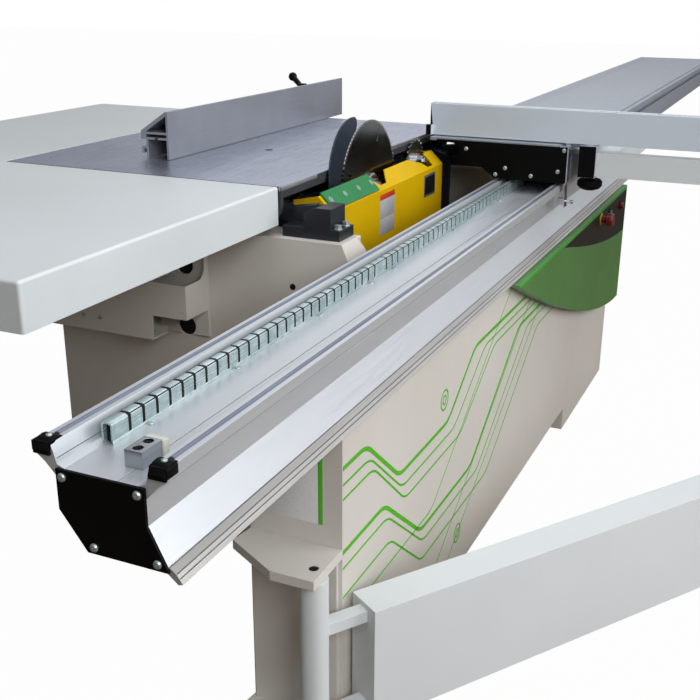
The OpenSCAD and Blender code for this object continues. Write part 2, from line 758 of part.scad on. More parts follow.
module main_switch_knob() {
    color("firebrick") union() {
        bar_x(cabinet_x - 30, cabinet_x + gap, switch_y, switch_z, switch_r);
        bar_x(cabinet_x + gap, cabinet_x + 14, switch_y, switch_z, 32);
        box([cabinet_x + 13, switch_y - 8, switch_z - 29], [cabinet_x + 34, switch_y + 8, switch_z + 29]);
    }
}

// Service door, hung on two pins at its outfeed edge
door_hinge_x = cabinet_x + 8;
door_hinge_y = door_y1 + 8;
hinge_z = [door_z0 + 60, door_z1 - 110];
hinge_pin_r = 3;

module cabinet_door() {
    color("gainsboro") difference() {
        union() {
            difference() {
                box([cabinet_x + gap, door_y0, door_z0], [cabinet_x + 16, door_y1 - 2, door_z1]);
                box([cabinet_x, door_y0 + 3, door_z0 + 3], [cabinet_x + 13, door_y1 - 5, door_z1 - 3]);
            }
            for (z = hinge_z) {
                bar_z(z, z + 50, door_hinge_x, door_hinge_y, 7);
                box([cabinet_x + 8, door_y1 - 4, z], [cabinet_x + 15, door_hinge_y, z + 50]);
            }
        }
        bar_x(cabinet_x + 10, cabinet_x + 17, door_y0 + 45, 385, 7 + run);
        for (z = hinge_z) bar_z(z - 1, z + 51, door_hinge_x, door_hinge_y, hinge_pin_r + run);
    }
}

module door_knob() {
    color([0.1, 0.1, 0.1]) union() {
        bar_x(cabinet_x + 1, cabinet_x + 20, door_y0 + 45, 385, 7);
        bar_x(cabinet_x + 16 + gap, cabinet_x + 34, door_y0 + 45, 385, 17);
        box([cabinet_x + 1, door_y0 + 8, 378], [cabinet_x + 5, door_y0 + 52, 392]);
    }
}

// Handwheels on the infeed wall
wheel_x = [-20, 250];
wheel_z = 520;
wheel_r = 90;
wheel_shaft_r = 9;

module handwheel(x) {
    y = cabinet_y0 - 60;
    color([0.12, 0.12, 0.12]) translate([x, y, wheel_z]) rotate([90, 0, 0]) union() {
        rotate_extrude() translate([wheel_r - 9, 0]) circle(9, $fn = 24);
        translate([0, 0, -14]) cylinder(h = 26, r = 20);
        for (a = [90, 210, 330]) rotate([0, 0, a]) translate([12, -8, -4]) cube([wheel_r - 20, 16, 9]);
        translate([0, wheel_r - 12, 0]) cylinder(h = 62, r = 7);
        translate([0, wheel_r - 12, 16]) cylinder(h = 50, r = 12);
    }
    color([0.3, 0.3, 0.3]) bar_y(y, cabinet_y0 + 46, x, wheel_z, wheel_shaft_r);
    color([0.3, 0.3, 0.3]) bar_y(cabinet_y0 + wall_t + gap, cabinet_y0 + 30, x, wheel_z, 18);
}

module tilt_handwheel() {
    handwheel(wheel_x[0]);
}

module lift_handwheel() {
    handwheel(wheel_x[1]);
}

// Saw unit: what tilts

trunnion_r1 = 80;
trunnion_r0 = 62;
trunnion_y1 = cabinet_y1 - 19;
trunnion_y0 = cabinet_y1 - flange_d + 4;
trunnion_step = 22;
upright_t = 24;
bolt_x = blade_x - 113;
bolt_step = [18, 54];

// One bracket: a low foot, a block beside the sliding table and an upright with an arc track round the tilt line
module trunnion_bracket() {
    x0 = blade_x - 122;
    x1 = table_x0 - 4;
    y0 = trunnion_y0;
    y1 = y0 + upright_t;
    difference() {
        union() {
            box([x0, y0, flange_z], [x1, trunnion_y1, flange_z + trunnion_step]);
            prism_y([[x0 + 19, flange_z], [x0 + 19, flange_z + 63], [x0 + 52, flange_z + 63], [x1, flange_z + 51],
                [x1, flange_z]], y0, y1);
            prism_y([[x0 + 19, flange_z], [x0 + 19, flange_z + 63], [x0 + 52, flange_z + 63],
                [x0 + 78, flange_z + 51], [x0 + 78, flange_z]], y0 + 10, trunnion_y1);
        }
        difference() {
            bar_y(y0 - 1, y1 - 2, tilt_x, tilt_z, trunnion_r1 + gap);
            bar_y(y0 - 2, y1 - 1, tilt_x, tilt_z, trunnion_r0 - gap);
        }
    }
}

module trunnion_brackets() {
    color([0.1, 0.12, 0.16]) {
        trunnion_bracket();
        translate([0, cabinet_y0 + cabinet_y1, 0]) mirror([0, 1, 0]) trunnion_bracket();
    }
}

frame_y1 = cabinet_y1 - flange_d - 10;
frame_y0 = cabinet_y0 + flange_d + 10;
frame_plate_t = 12;
frame_x = blade_x + 40;

// An arc sector round the tilt line, from angle a0 to a1 as seen along -Y
module trunnion_sector(y0, y1) {
    r = trunnion_r1 * 1.5;
    difference() {
        intersection() {
            bar_y(y0, y1, tilt_x, tilt_z, trunnion_r1);
            prism_y([[tilt_x, tilt_z], [tilt_x + r * cos(255), tilt_z + r * sin(255)],
                [tilt_x + r * cos(290), tilt_z + r * sin(290)], [tilt_x + r * cos(325), tilt_z + r * sin(325)]],
                y0 - 1, y1 + 1);
        }
        bar_y(y0 - 1, y1 + 1, tilt_x, tilt_z, trunnion_r0);
    }
}

lift_down = 85;
lift_up = 13;
housing_r = 35;
knife_hold_y = blade_y + 166;
knife_hold_z = [-58, -14];

module tilt_frame() {
    t = frame_plate_t;
    color([0.2, 0.22, 0.26]) difference() {
        union() {
            for (y = [frame_y0, frame_y1 - t])
                prism_y([[blade_x - 16, table_h - 66], [blade_x + 70, table_h - 40], [blade_x + 120, table_h - 60],
                    [blade_x + 120, table_h - 260], [frame_x, table_h - 260], [blade_x - 30, table_h - 215],
                    [blade_x - 30, table_h - 76]], y, y + t);
            box([frame_x, frame_y0 + 1, table_h - 258], [frame_x + t, frame_y1 - 1, table_h - 54]);
            trunnion_sector(frame_y1 - 1, trunnion_y0 + upright_t - 2 - gap);
            translate([0, cabinet_y0 + cabinet_y1, 0]) mirror([0, 1, 0])
                trunnion_sector(frame_y1 - 1, trunnion_y0 + upright_t - 2 - gap);
            // housing of the scoring spindle
            bar_x(blade_x + 24, blade_x + 150, scoring_y, scoring_z, 34);
            // slide ways for the lift
            for (y = [blade_y - 78 - gap - 12, blade_y + 78 + gap])
                box([frame_x + t - 1, y, table_h - 250], [frame_x + t + 11, y + 12, table_h - 60]);
        }
        bar_x(blade_x + 23, blade_x + 142, scoring_y, scoring_z, scoring_bore / 2 + run);
        // the slot in which the arbor housing rises and falls
        box([frame_x - 1, blade_y - housing_r - 4, arbor_z - lift_down - housing_r - 4],
            [frame_x + t + 1, blade_y + housing_r + 4, table_h]);
        // the slot for the riving knife's holder
        box([frame_x - 1, knife_hold_y - 4, arbor_z + knife_hold_z[0] - lift_down - 4],
            [frame_x + t + 1, knife_hold_y + 44, arbor_z + knife_hold_z[1] + lift_up + 4]);
    }
}

guard_x = blade_x - 50;
guard_y0 = blade_y - 374;
guard_y1 = blade_y + 305;
guard_z0 = table_h - 204;
guard_z1 = table_h - 70;
guard_rise = 32;
guard_t = 3;

module guard_cover() {
    x0 = guard_x;
    t = guard_t;
    fold = [[x0, guard_z0], [x0, guard_z1], [x0 + guard_rise, guard_z1 + guard_rise],
        [x0 + guard_rise + t, guard_z1 + guard_rise - t * 0.4], [x0 + t, guard_z1 - t * 0.5], [x0 + t, guard_z0]];
    cheek = [[x0, guard_z0], [x0, guard_z1], [x0 + guard_rise, guard_z1 + guard_rise],
        [frame_x, guard_z1 + 20], [frame_x, guard_z0 + 30], [x0 + 20, guard_z0]];
    color("gold") difference() {
        union() {
            prism_y(fold, guard_y0, guard_y1);
            prism_y(cheek, guard_y0, guard_y0 + t);
            prism_y(cheek, guard_y1 - t, guard_y1);
        }
        // notches for the arbor nut and for the scoring arbor
        prism_x([[blade_y - 64, guard_z1 + 60], [blade_y - 60, guard_z1 + 36], [blade_y - 16, guard_z1 + 8],
            [blade_y + 20, guard_z1 + 8], [blade_y + 52, guard_z1 + 26], [blade_y + 52, guard_z1 + 60]],
            x0 + 4, x0 + 60);
        prism_x([[scoring_y - 17, guard_z1 + 60], [scoring_y - 16, guard_z1 + 3], [scoring_y + 22, guard_z1 + 3],
            [scoring_y + 40, guard_z1 + 16], [scoring_y + 108, guard_z1 + 34], [scoring_y + 108, guard_z1 + 60]],
            x0 + 4, x0 + 60);
    }
}

module guard_plate() {
    d = 3.4;
    x0 = guard_x + 2;
    z0 = guard_z1 + 2;
    rise = guard_rise + 1;
    color("seagreen") prism_y([[x0 - gap, z0 + gap], [x0 - d, z0 + d], [x0 + rise - d, z0 + rise + d],
        [x0 + rise - gap, z0 + rise + gap]], blade_y + 53, guard_y1 - 10);
}

// Saw unit: what rises and falls

motor_y = blade_y + 60;
motor_z = arbor_z - 185;
motor_x0 = blade_x + 204;
motor_x1 = motor_x0 + 240;
pulley_x0 = blade_x + 164;
pulley_x1 = pulley_x0 + 26;
arbor_pulley_r = 32;
motor_pulley_r = 50;
slide_x = frame_x + frame_plate_t + gap;

module saw_carriage() {
    color([0.25, 0.27, 0.3]) difference() {
        union() {
            box([slide_x, blade_y - 78, table_h - 225], [slide_x + 18, blade_y + 78, table_h - 40 - lift_up - 4]);
            bar_x(blade_x + 16, pulley_x0 - 6, blade_y, arbor_z, housing_r);
            // the web and the flange that carry the motor
            box([slide_x + 10, motor_y + 70, motor_z - 10], [motor_x0 - 1, motor_y + 82, table_h - 140]);
            box([slide_x + 12, blade_y + 60, motor_z - 10], [slide_x + 24, motor_y + 82, table_h - 140]);
            // the arm that holds the riving knife
            box([slide_x + 12, blade_y + 60, arbor_z + knife_hold_z[0]],
                [slide_x + 24, knife_hold_y + 40, arbor_z + knife_hold_z[1]]);
            box([motor_x0 - 10, motor_y - 82, motor_z - 82], [motor_x0, motor_y + 82, motor_z + 82]);
        }
        bar_x(blade_x + 15, pulley_x0 - 5, blade_y, arbor_z, arbor_r + run);
        bar_x(motor_x0 - 11, motor_x0 + 1, motor_y, motor_z, 30);
    }
}

module motor() {
    color([0.2, 0.3, 0.42]) union() {
        difference() {
            bar_x(motor_x0, motor_x1, motor_y, motor_z, 86);
            for (a = [0:15:345]) translate([motor_x0 + 24, motor_y, motor_z]) rotate([a, 0, 0])
                translate([0, -2.5, 76]) cube([150, 5, 14]);
            bar_x(motor_x0 - 1, motor_x0 + 40, motor_y, motor_z, motor_shaft_r + run);
        }
        box([motor_x0 + 50, motor_y - 45, motor_z + 78], [motor_x0 + 150, motor_y + 45, motor_z + 118]);
    }
}

motor_shaft_r = 12;

module motor_pulley() {
    color("dimgray") union() {
        difference() {
            bar_x(pulley_x0, pulley_x1, motor_y, motor_z, motor_pulley_r);
            translate([(pulley_x0 + pulley_x1) / 2, motor_y, motor_z]) rotate([0, 90, 0]) rotate_extrude()
                polygon([[motor_pulley_r - 6, -8], [motor_pulley_r + 1, -10], [motor_pulley_r + 1, 10],
                    [motor_pulley_r - 6, 8]]);
        }
        bar_x(pulley_x0 + 1, motor_x0 + 38, motor_y, motor_z, motor_shaft_r);
    }
}

arbor_r = 17;

module arbor_shaft() {
    hub = blade_x + blade_t / 2 + gap / 3;
    color("silver") union() {
        bar_x(hub + 12, pulley_x0 + 1, blade_y, arbor_z, arbor_r);
        bar_x(hub, hub + 12, blade_y, arbor_z, 36);
        bar_x(blade_x - 33, hub + 1, blade_y, arbor_z, arbor_d / 2);
        difference() {
            bar_x(pulley_x0, pulley_x1, blade_y, arbor_z, arbor_pulley_r);
            translate([(pulley_x0 + pulley_x1) / 2, blade_y, arbor_z]) rotate([0, 90, 0]) rotate_extrude()
                polygon([[arbor_pulley_r - 6, -8], [arbor_pulley_r + 1, -10], [arbor_pulley_r + 1, 10],
                    [arbor_pulley_r - 6, 8]]);
        }
    }
}

// The belt: two straight runs and two bends, in one closed band
module drive_belt() {
    r0 = arbor_pulley_r - 6 + gap;
    r1 = motor_pulley_r - 6 + gap;
    dy = motor_y - blade_y;
    dz = motor_z - arbor_z;
    len = sqrt(dy * dy + dz * dz);
    lean = asin((r1 - r0) / len);
    color([0.08, 0.08, 0.08]) translate([(pulley_x0 + pulley_x1) / 2 - 7, blade_y, arbor_z])
        rotate([90, 0, 90]) rotate([0, 0, atan2(dz, dy)]) linear_extrude(14) difference() {
            polygon(belt_ring(r0 + 6, r1 + 6, len, lean));
            polygon(belt_ring(r0, r1, len, lean));
        }
}

// Points round both pulleys: r0 at the arbor, r1 at the motor, whose centre is len away
function belt_ring(r0, r1, len, lean) = concat(
    [for (i = [0:16]) let (a = 90 + lean + (180 - 2 * lean) * i / 16) [r0 * cos(a), r0 * sin(a)]],
    [for (i = [0:16]) let (a = -90 - lean + (180 + 2 * lean) * i / 16) [len + r1 * cos(a), r1 * sin(a)]]);

// Blade outline: per tooth a tip, the back of the tooth and the gullet
function tooth_ring(n, r, deep) = [for (i = [0:n - 1], k = [0:4])
    let (a = 360 / n * (i + [0, 0.18, 0.52, 0.78, 0.97][k]), q = r - [0, 0.6, deep * 0.7, deep, deep * 0.55][k])
    [q * cos(a), q * sin(a)]];

module toothed_disc(n, d, deep, t, bore) {
    difference() {
        translate([-t / 2, 0, 0]) rotate([90, 0, 90]) linear_extrude(t) difference() {
            polygon(tooth_ring(n, d / 2, deep));
            for (a = [20:90:290]) rotate([0, 0, a]) translate([d / 2 - d * 0.13, -1]) square([d * 0.14, 2]);
            for (a = [20:90:290]) rotate([0, 0, a]) translate([d / 2 - d * 0.13, 0]) circle(d * 0.012);
        }
        bar_x(-t, t, 0, 0, bore / 2);
    }
}

module blade() {
    color([0.25, 0.23, 0.22]) translate([blade_x, blade_y, arbor_z]) rotate([3, 0, 0])
        toothed_disc(blade_teeth, blade_d, 6, blade_t, arbor_d + 2 * run);
}

flange_r = 37;
flange_h = 8;

module flange_nut() {
    x = blade_x - blade_t / 2 - gap / 3;
    color("silver") translate([x, blade_y, arbor_z]) rotate([0, -90, 0]) difference() {
        union() {
            // the flange with its bevelled rim, the hub and the nut
            cylinder(h = flange_h, r = flange_r);
            translate([0, 0, flange_h - 0.1]) cylinder(h = 3.1, r1 = flange_r, r2 = flange_r - 3);
            cylinder(h = 20, r = 24);
            translate([0, 0, 19]) cylinder(h = 10, r = 17.5, $fn = 6);
        }
        translate([0, 0, -1]) cylinder(h = 31, r = arbor_d / 2 + run);
    }
}

scoring_z = table_h + 2 - scoring_d / 2;
scoring_bore = 20;

module scoring_blade() {
    color("silver") translate([blade_x, scoring_y, scoring_z])
        toothed_disc(scoring_teeth, scoring_d, 7, 3.2, scoring_bore + 2 * run);
}

module scoring_arbor() {
    color("lightgray") union() {
        bar_x(blade_x - 30, blade_x + 140, scoring_y, scoring_z, scoring_bore / 2);
        bar_x(blade_x + 1.6 + gap / 3, blade_x + 20, scoring_y, scoring_z, 22);
        bar_x(blade_x - 12, blade_x - 1.6 - gap / 3, scoring_y, scoring_z, 22);
        translate([blade_x - 24, scoring_y, scoring_z]) rotate([0, 90, 0]) cylinder(h = 13, r = 16, $fn = 6);
    }
}

// The riving knife: a broad crescent behind the blade on a shank
knife_r = 121;
knife_gap = 6;

module riving_knife() {
    in_r = blade_d / 2 + knife_gap;
    cy = blade_y + 97;
    cz = arbor_z + 54.5;
    color([0.12, 0.14, 0.18]) translate([blade_x - knife_t / 2, 0, 0]) rotate([90, 0, 90]) linear_extrude(knife_t)
        polygon(concat([[knife_hold_y + 44, arbor_z + knife_hold_z[0]]],
            [for (a = [0:8:96]) [cy + knife_r * cos(a), cz + knife_r * sin(a)]],
            [[cy - 22, cz + 115], [cy - 26, cz + 104]],
            [for (a = [62:-6:-20]) [blade_y + in_r * cos(a), arbor_z + in_r * sin(a)]]));
    color([0.12, 0.14, 0.18]) difference() {
        box([blade_x + knife_t / 2, knife_hold_y, arbor_z + knife_hold_z[0]],
            [slide_x + 12, knife_hold_y + 40, arbor_z + knife_hold_z[1]]);
        box([blade_x + knife_t / 2 + 14, knife_hold_y - 1, arbor_z + knife_hold_z[0] - 1],
            [slide_x + 13, knife_hold_y + 14, arbor_z + knife_hold_z[1] + 1]);
    }
}

// Rip fence

module rip_outline() {
    x = rip_face;
    z = table_h + 1;
    top = z + rip_h;
    web = z + 48;
    w = 6;
    foot_in = x + rip_w - 18;
    foot_out = foot_in + 5;
    side = x + rip_w;
    difference() {
        polygon([[x, z], [x + w, z], [x + w, web - 5], [foot_in, web - 5], [foot_in, z], [foot_out, z],
            [foot_out, z + 22], [side - 6, z + 22], [side - 6, z + 12], [side, z + 12], [side, z + 27],
            [foot_out, z + 27], [foot_out, web - 5], [side, web - 5], [side, web + 14], [x + w + 1, top], [x, top]]);
        // the undercut slot between the two webs
        translate([x + w, web]) square([foot_out - x - w, 7]);
        translate([x + rip_w / 2 - 8, web - 6]) square([10, 7]);
        // the slanted upper chamber
        polygon([[x + w, web + 12], [side - 12, web + 12], [x + w, top - 9]]);
    }
}

rip_y1 = blade_y + rip_reach;
rip_y0 = rip_y1 - rip_l;

module rip_fence() {
    color("silver") translate([0, rip_y1, 0]) rotate([90, 0, 0]) linear_extrude(rip_l) rip_outline();
}

module fence_body() {
    x0 = rip_face - 20;
    x1 = rip_face + 150;
    r = fence_rail_d / 2;
    color([0.2, 0.22, 0.25]) difference() {
        union() {
            difference() {
                bar_x(x0, x1, fence_rail_y, fence_rail_z, r + 14);
                // open towards the table, past the brackets
                box([x0 - 1, fence_rail_y - 1, fence_rail_z - r - 20], [x1 + 1, fence_rail_y + 50, fence_rail_z + 15]);
            }
            box([rip_face + rip_w + gap, fence_rail_y - 34, fence_rail_z + 16], [x1, fence_rail_y + 34, table_h + 60]);
            box([rip_face + rip_w + gap, fence_rail_y - 20, table_h + 1], [x1 - 20, fence_rail_y + 170, table_h + 44]);
        }
        bar_x(x0 - 1, x1 + 1, fence_rail_y, fence_rail_z, r + run);
        bar_x(rip_face + rip_w, rip_face + rip_w + 30, fence_rail_y + 120, table_h + 22, 5);
    }
}

lever_x = rip_face + 120;
lever_z = table_h + 84;

module fence_lever() {
    color([0.08, 0.08, 0.08]) union() {
        bar_z(table_h + 60 + gap, lever_z + 4, lever_x, fence_rail_y, 14);
        translate([lever_x, fence_rail_y, lever_z - 8]) rotate([0, 70, -40]) cylinder(h = 78, r1 = 7, r2 = 9);
        translate([lever_x, fence_rail_y, lever_z - 8]) rotate([0, 70, -40]) translate([0, 0, 78]) sphere(13);
    }
}

// Sliding table

slot_z = table_h - 24;

function carriage_outline() = [
    [carriage_x1, table_h], [carriage_x1, table_h - lip_t], [carriage_x1 - lip_w, table_h - lip_t],
    [carriage_x1 - lip_w - 104, carriage_z], [carriage_x0, carriage_z], [carriage_x0, table_h]];

module carriage() {
    t = 5;
    knee = carriage_x1 - lip_w;
    mid = (knee - 104 + carriage_x0) / 2 - 20;
    color("silver") difference() {
        prism_y(carriage_outline(), carriage_y0, carriage_y1);
        // two hollow chambers
        prism_y([[knee - 4, table_h - lip_t], [knee - 104, carriage_z + t], [mid + t, carriage_z + t],
            [mid + t, table_h - lip_t]], carriage_y0 - 1, carriage_y1 + 1);
        prism_y([[mid, table_h - lip_t], [mid, carriage_z + t], [carriage_x0 + t, carriage_z + t],
            [carriage_x0 + t, slot_z - 26], [carriage_x0 + 26, slot_z - 20], [carriage_x0 + 26, table_h - lip_t]],
            carriage_y0 - 1, carriage_y1 + 1);
        // the slot for clamps in the outer side
        box([carriage_x0 - 1, carriage_y0 - 1, slot_z - 7], [carriage_x0 + 7, carriage_y1 + 1, slot_z + 7]);
        box([carriage_x0 + 5, carriage_y0 - 1, slot_z - 12], [carriage_x0 + 18, carriage_y1 + 1, slot_z + 12]);
        // the slot in the top
        box([mid - 70, carriage_y0 - 1, table_h - 4], [mid - 56, carriage_y1 + 1, table_h + 1]);
        // fine lines along the lip
        for (i = [1:4]) box([carriage_x1 - i * 13, carriage_y0 - 1, table_h - 0.8],
            [carriage_x1 - i * 13 + 1.5, carriage_y1 + 1, table_h + 1]);
    }
}

end_plate_t = 5;
end_plate_points = [
    [carriage_x1 - 20, table_h - 4], [carriage_x1 - 20, table_h - lip_t - 1],
    [carriage_x1 - lip_w, table_h - lip_t - 3], [carriage_x1 - lip_w - 112, carriage_z - 3],
    [carriage_x0 + 1, carriage_z - 3], [carriage_x0 + 1, table_h - 4]];

module carriage_end_plates() {
    color([0.03, 0.03, 0.03]) {
        prism_y(end_plate_points, carriage_y1, carriage_y1 + end_plate_t);
        prism_y(end_plate_points, carriage_y0 - end_plate_t, carriage_y0);
    }
}

carriage_screw_at = [
    [carriage_x1 - 101, table_h - 24], [carriage_x1 - 207, table_h - 66], [carriage_x1 - 275, table_h - 81],
    [carriage_x1 - 182, table_h - 84], [carriage_x0 + 22, table_h - 65], [carriage_x0 + 9, table_h - 12]];

module carriage_screws() {
    color("lightgray") for (p = carriage_screw_at) {
        pan_head_y(p[0], carriage_y1 + end_plate_t, p[1], 5.5, 3.5);
        mirror([0, 1, 0]) pan_head_y(p[0], -carriage_y0 + end_plate_t, p[1], 5.5, 3.5);
    }
}

// Spring strip that hangs from the sliding table's end and holds it in place on the beam
module stop_hook() {
    x = carriage_x0 - gap;
    y0 = carriage_y1 + end_plate_t;
    strip = [[x - 3, table_h - 2], [x, table_h - 2], [x, table_h - 88], [x + 4, table_h - 100],
        [x + 1, table_h - 152], [x - 2, table_h - 152], [x + 1, table_h - 100], [x - 3, table_h - 88]];
    color("lightgray") {
        prism_y(strip, y0 - 22, y0 + 6);
        box([x, y0 - 18, table_h - 147], [x + 18, y0 + 2, table_h - 131]);
        bar_x(x - 20, x + 1, y0 - 8, table_h - 139, 4);
        box([x - 18, y0 - 20, table_h - 142], [x - 13, y0 + 4, table_h - 136]);
    }
}

roller_r = (cage_gap - 0.6) / 2;
cage_start = 31;
cage_y1 = beam_y0 + cage_start + cage_l;

module roller_cage() {
    count = 12;
    pitch = cage_l / count;
    z0 = rod_top + 1.2;
    color([0.15, 0.15, 0.15]) for (s = [-1, 1]) {
        xc = beam_x + s * rod_x;
        difference() {
            box([xc - 11, cage_y1 - cage_l, z0], [xc + 11, cage_y1, z0 + 6]);
            for (i = [0:count - 1]) box([xc - 7, cage_y1 - (i + 0.5) * pitch - 6, z0 - 1],
                [xc + 7, cage_y1 - (i + 0.5) * pitch + 6, z0 + 7]);
        }
    }
    color("lightgray") for (s = [-1, 1], i = [0:count - 1])
        bar_x(beam_x + s * rod_x - 6.7, beam_x + s * rod_x + 6.7, cage_y1 - (i + 0.5) * pitch,
            rod_top + cage_gap / 2, roller_r);
}

// Outrigger

outrigger_x1 = carriage_x0 - 22;
outrigger_rail_w = 43;
outrigger_rail_h = 79;
outrigger_y1 = carriage_y1 - 22;
frame_x1 = outrigger_x1 - outrigger_rail_w;
frame_x0 = frame_x1 - outrigger_w;
frame_top = table_h - 18;
frame_low = frame_top - frame_tube_h;
frame_y1_out = outrigger_y1 - 8;
frame_y0_out = frame_y1_out - outrigger_d;

module outrigger_rail() {
    x0 = outrigger_x1 - outrigger_rail_w;
    x1 = outrigger_x1;
    z1 = table_h;
    z0 = table_h - outrigger_rail_h;
    y0 = frame_y0_out - 30;
    color("silver") union() {
        difference() {
            box([x0, y0, z0], [x1, outrigger_y1, z1]);
            box([x0 + 5, y0 + 4, z0 + 5], [x1 - 5, outrigger_y1 - 4, slot_z - 12]);
            box([x1 - 6, y0 - 1, slot_z - 4], [x1 + 1, outrigger_y1 + 1, slot_z + 4]);
        }
        // hooks that hold the rail in the side slot of the sliding table
        for (y = [y0 + 80, outrigger_y1 - 70]) union() {
            box([x1 - 1, y - 20, slot_z - 7 + gap], [carriage_x0 + 14, y + 20, slot_z + 7 - gap]);
            box([carriage_x0 + 7 + gap, y - 20, slot_z - 12 + gap], [carriage_x0 + 15, y + 20, slot_z + 12 - gap]);
        }
    }
    color([0.05, 0.05, 0.05]) box([x0 + 1, outrigger_y1, z0 + 1], [x1 - 1, outrigger_y1 + 4, z1 - 1]);
}

knob_y = outrigger_y1 - 33;
knob_x = outrigger_x1 - 26;

module outrigger_knob() {
    z0 = table_h - outrigger_rail_h;
    color([0.06, 0.06, 0.06]) union() {
        translate([knob_x, knob_y, z0]) rotate_extrude() polygon([[0, -36], [14, -35], [25, -31], [31, -24],
            [31, -13], [26, -8], [12, -8], [12, -gap], [0, -gap]]);
    }
}

bays = 2;
tube_t = 3;

// Two long tubes and the cross tubes between them, hollow and joined
module outrigger_frame() {
    w = frame_tube_w;
    t = tube_t;
    step = (frame_x1 - frame_x0 - w) / bays;
    color("whitesmoke") difference() {
        box([frame_x0, frame_y0_out, frame_low], [frame_x1, frame_y1_out, frame_top]);
        for (i = [0:bays - 1]) box([frame_x0 + w + i * step, frame_y0_out + w, frame_low - 1],
            [frame_x0 + (i + 1) * step, frame_y1_out - w, frame_top + 1]);
        // the hollows, open at the end that the rail closes
        for (y = [frame_y0_out, frame_y1_out - w])
            box([frame_x0 + t, y + t, frame_low + t], [frame_x1 + 1, y + w - t, frame_top - t]);
        for (i = [0:bays]) box([frame_x0 + i * step + t, frame_y0_out + w - t - 1, frame_low + t],
            [frame_x0 + i * step + w - t, frame_y1_out - w + t + 1, frame_top - t]);
        // the hole for the post's pin
        bar_z(frame_low - 1, frame_low + t + 1, post_x, post_y, post_pin_r + 3);
    }
}

// Crosscut fence, square to the blade at rest
crosscut_x1 = blade_x - 16;
crosscut_x0 = crosscut_x1 - crosscut_l;
crosscut_y1 = carriage_y1 - 25;
crosscut_y0 = crosscut_y1 - crosscut_d;
crosscut_z0 = table_h + 3;
crosscut_z1 = crosscut_z0 + crosscut_h;
fence_pivot_x = outrigger_x1 - 22;
fence_pivot_y = crosscut_y0 + crosscut_d / 2;

module crosscut_fence() {
    y0 = crosscut_y0;
    y1 = crosscut_y1;
    z0 = crosscut_z0;
    z1 = crosscut_z1;
    ym = (y0 + y1) / 2;
    color("silver") difference() {
        box([crosscut_x0, y0, z0], [crosscut_x1, y1, z1]);
        // chamber for the extension
        box([crosscut_x0 - 1, y0 + 5, z0 + 5], [crosscut_x1 + 1, y1 - 5, z1 - 20]);
        // slot in the top for the stops
        box([crosscut_x0 - 1, ym - 5, z1 - 6], [crosscut_x1 + 1, ym + 5, z1 + 1]);
        box([crosscut_x0 - 1, ym - 9, z1 - 14], [crosscut_x1 + 1, ym + 9, z1 - 5]);
    }
    color([0.05, 0.05, 0.05]) {
        box([crosscut_x1, y0, z0], [crosscut_x1 + 5, y1, z1]);
        box([crosscut_x1 - 2, y1, z0], [crosscut_x1 + 12, y1 + 14, z0 + 26]);
    }
    color("gray") bar_z(table_h + gap, z0, fence_pivot_x, fence_pivot_y, 18);
}

extension_l = 900;

module fence_extension() {
    c = gap;
    color("silver") difference() {
        box([crosscut_x0 - 12, crosscut_y0 + 5 + c, crosscut_z0 + 5 + c],
            [crosscut_x0 + extension_l, crosscut_y1 - 5 - c, crosscut_z1 - 20 - c]);
        box([crosscut_x0 - 1, crosscut_y0 + 10, crosscut_z0 + 10],
            [crosscut_x0 + extension_l + 1, crosscut_y1 - 10, crosscut_z1 - 25]);
    }
    color([0.05, 0.05, 0.05]) box([crosscut_x0 - 16, crosscut_y0 + 1, crosscut_z0 + 1],
        [crosscut_x0 - 12, crosscut_y1 - 1, crosscut_z1 - 1]);
}

stop_place = crosscut_x0 + 520;
flip_z = crosscut_z1 + 26;

module stop_block() {
    ym = (crosscut_y0 + crosscut_y1) / 2;
    color([0.15, 0.15, 0.17]) difference() {
        union() {
            box([stop_place - 30, crosscut_y0, crosscut_z1 + gap], [stop_place + 30, crosscut_y1, crosscut_z1 + 14]);
            box([stop_place - 20, ym - 5 + gap, crosscut_z1 - 7], [stop_place + 20, ym + 5 - gap, crosscut_z1 + 1]);
            for (x = [stop_place - 30, stop_place + 18])
                box([x, crosscut_y0, crosscut_z1 + 12], [x + 12, crosscut_y0 + 24, flip_z + 12]);
            bar_z(crosscut_z1 + 13, crosscut_z1 + 34, stop_place, crosscut_y1 - 7, 7);
        }
        bar_x(stop_place - 31, stop_place + 31, crosscut_y0 + 12, flip_z, 5 + run);
    }
}

module flip_stop() {
    y = crosscut_y0 + 12;
    color([0.1, 0.1, 0.1]) union() {
        bar_x(stop_place - 34, stop_place + 34, y, flip_z, 5);
        bar_x(stop_place - 18 + gap, stop_place + 18 - gap, y, flip_z, 11);
        prism_x([[y - 8, flip_z - 8], [y - 2, flip_z + 10], [crosscut_y0 - 30, flip_z + 6],
            [crosscut_y0 - 36, crosscut_z0 + 4], [crosscut_y0 - 28, crosscut_z0 + 4], [crosscut_y0 - 22, flip_z - 10]],
            stop_place - 15, stop_place + 15);
    }
}

// Swing arm

arm_turn = 34.28;
arm_z1 = arm_top;
arm_z0 = arm_top - arm_h;
neck = 90;
post_x = pivot_x - post_r * sin(arm_turn);
post_y = pivot_y - post_r * cos(arm_turn);
post_pin_r = 10;

// Draws its children with the arm along +X from the pivot
module along_arm() {
    translate([pivot_x, pivot_y, 0]) rotate([0, 0, -90 - arm_turn]) children();
}

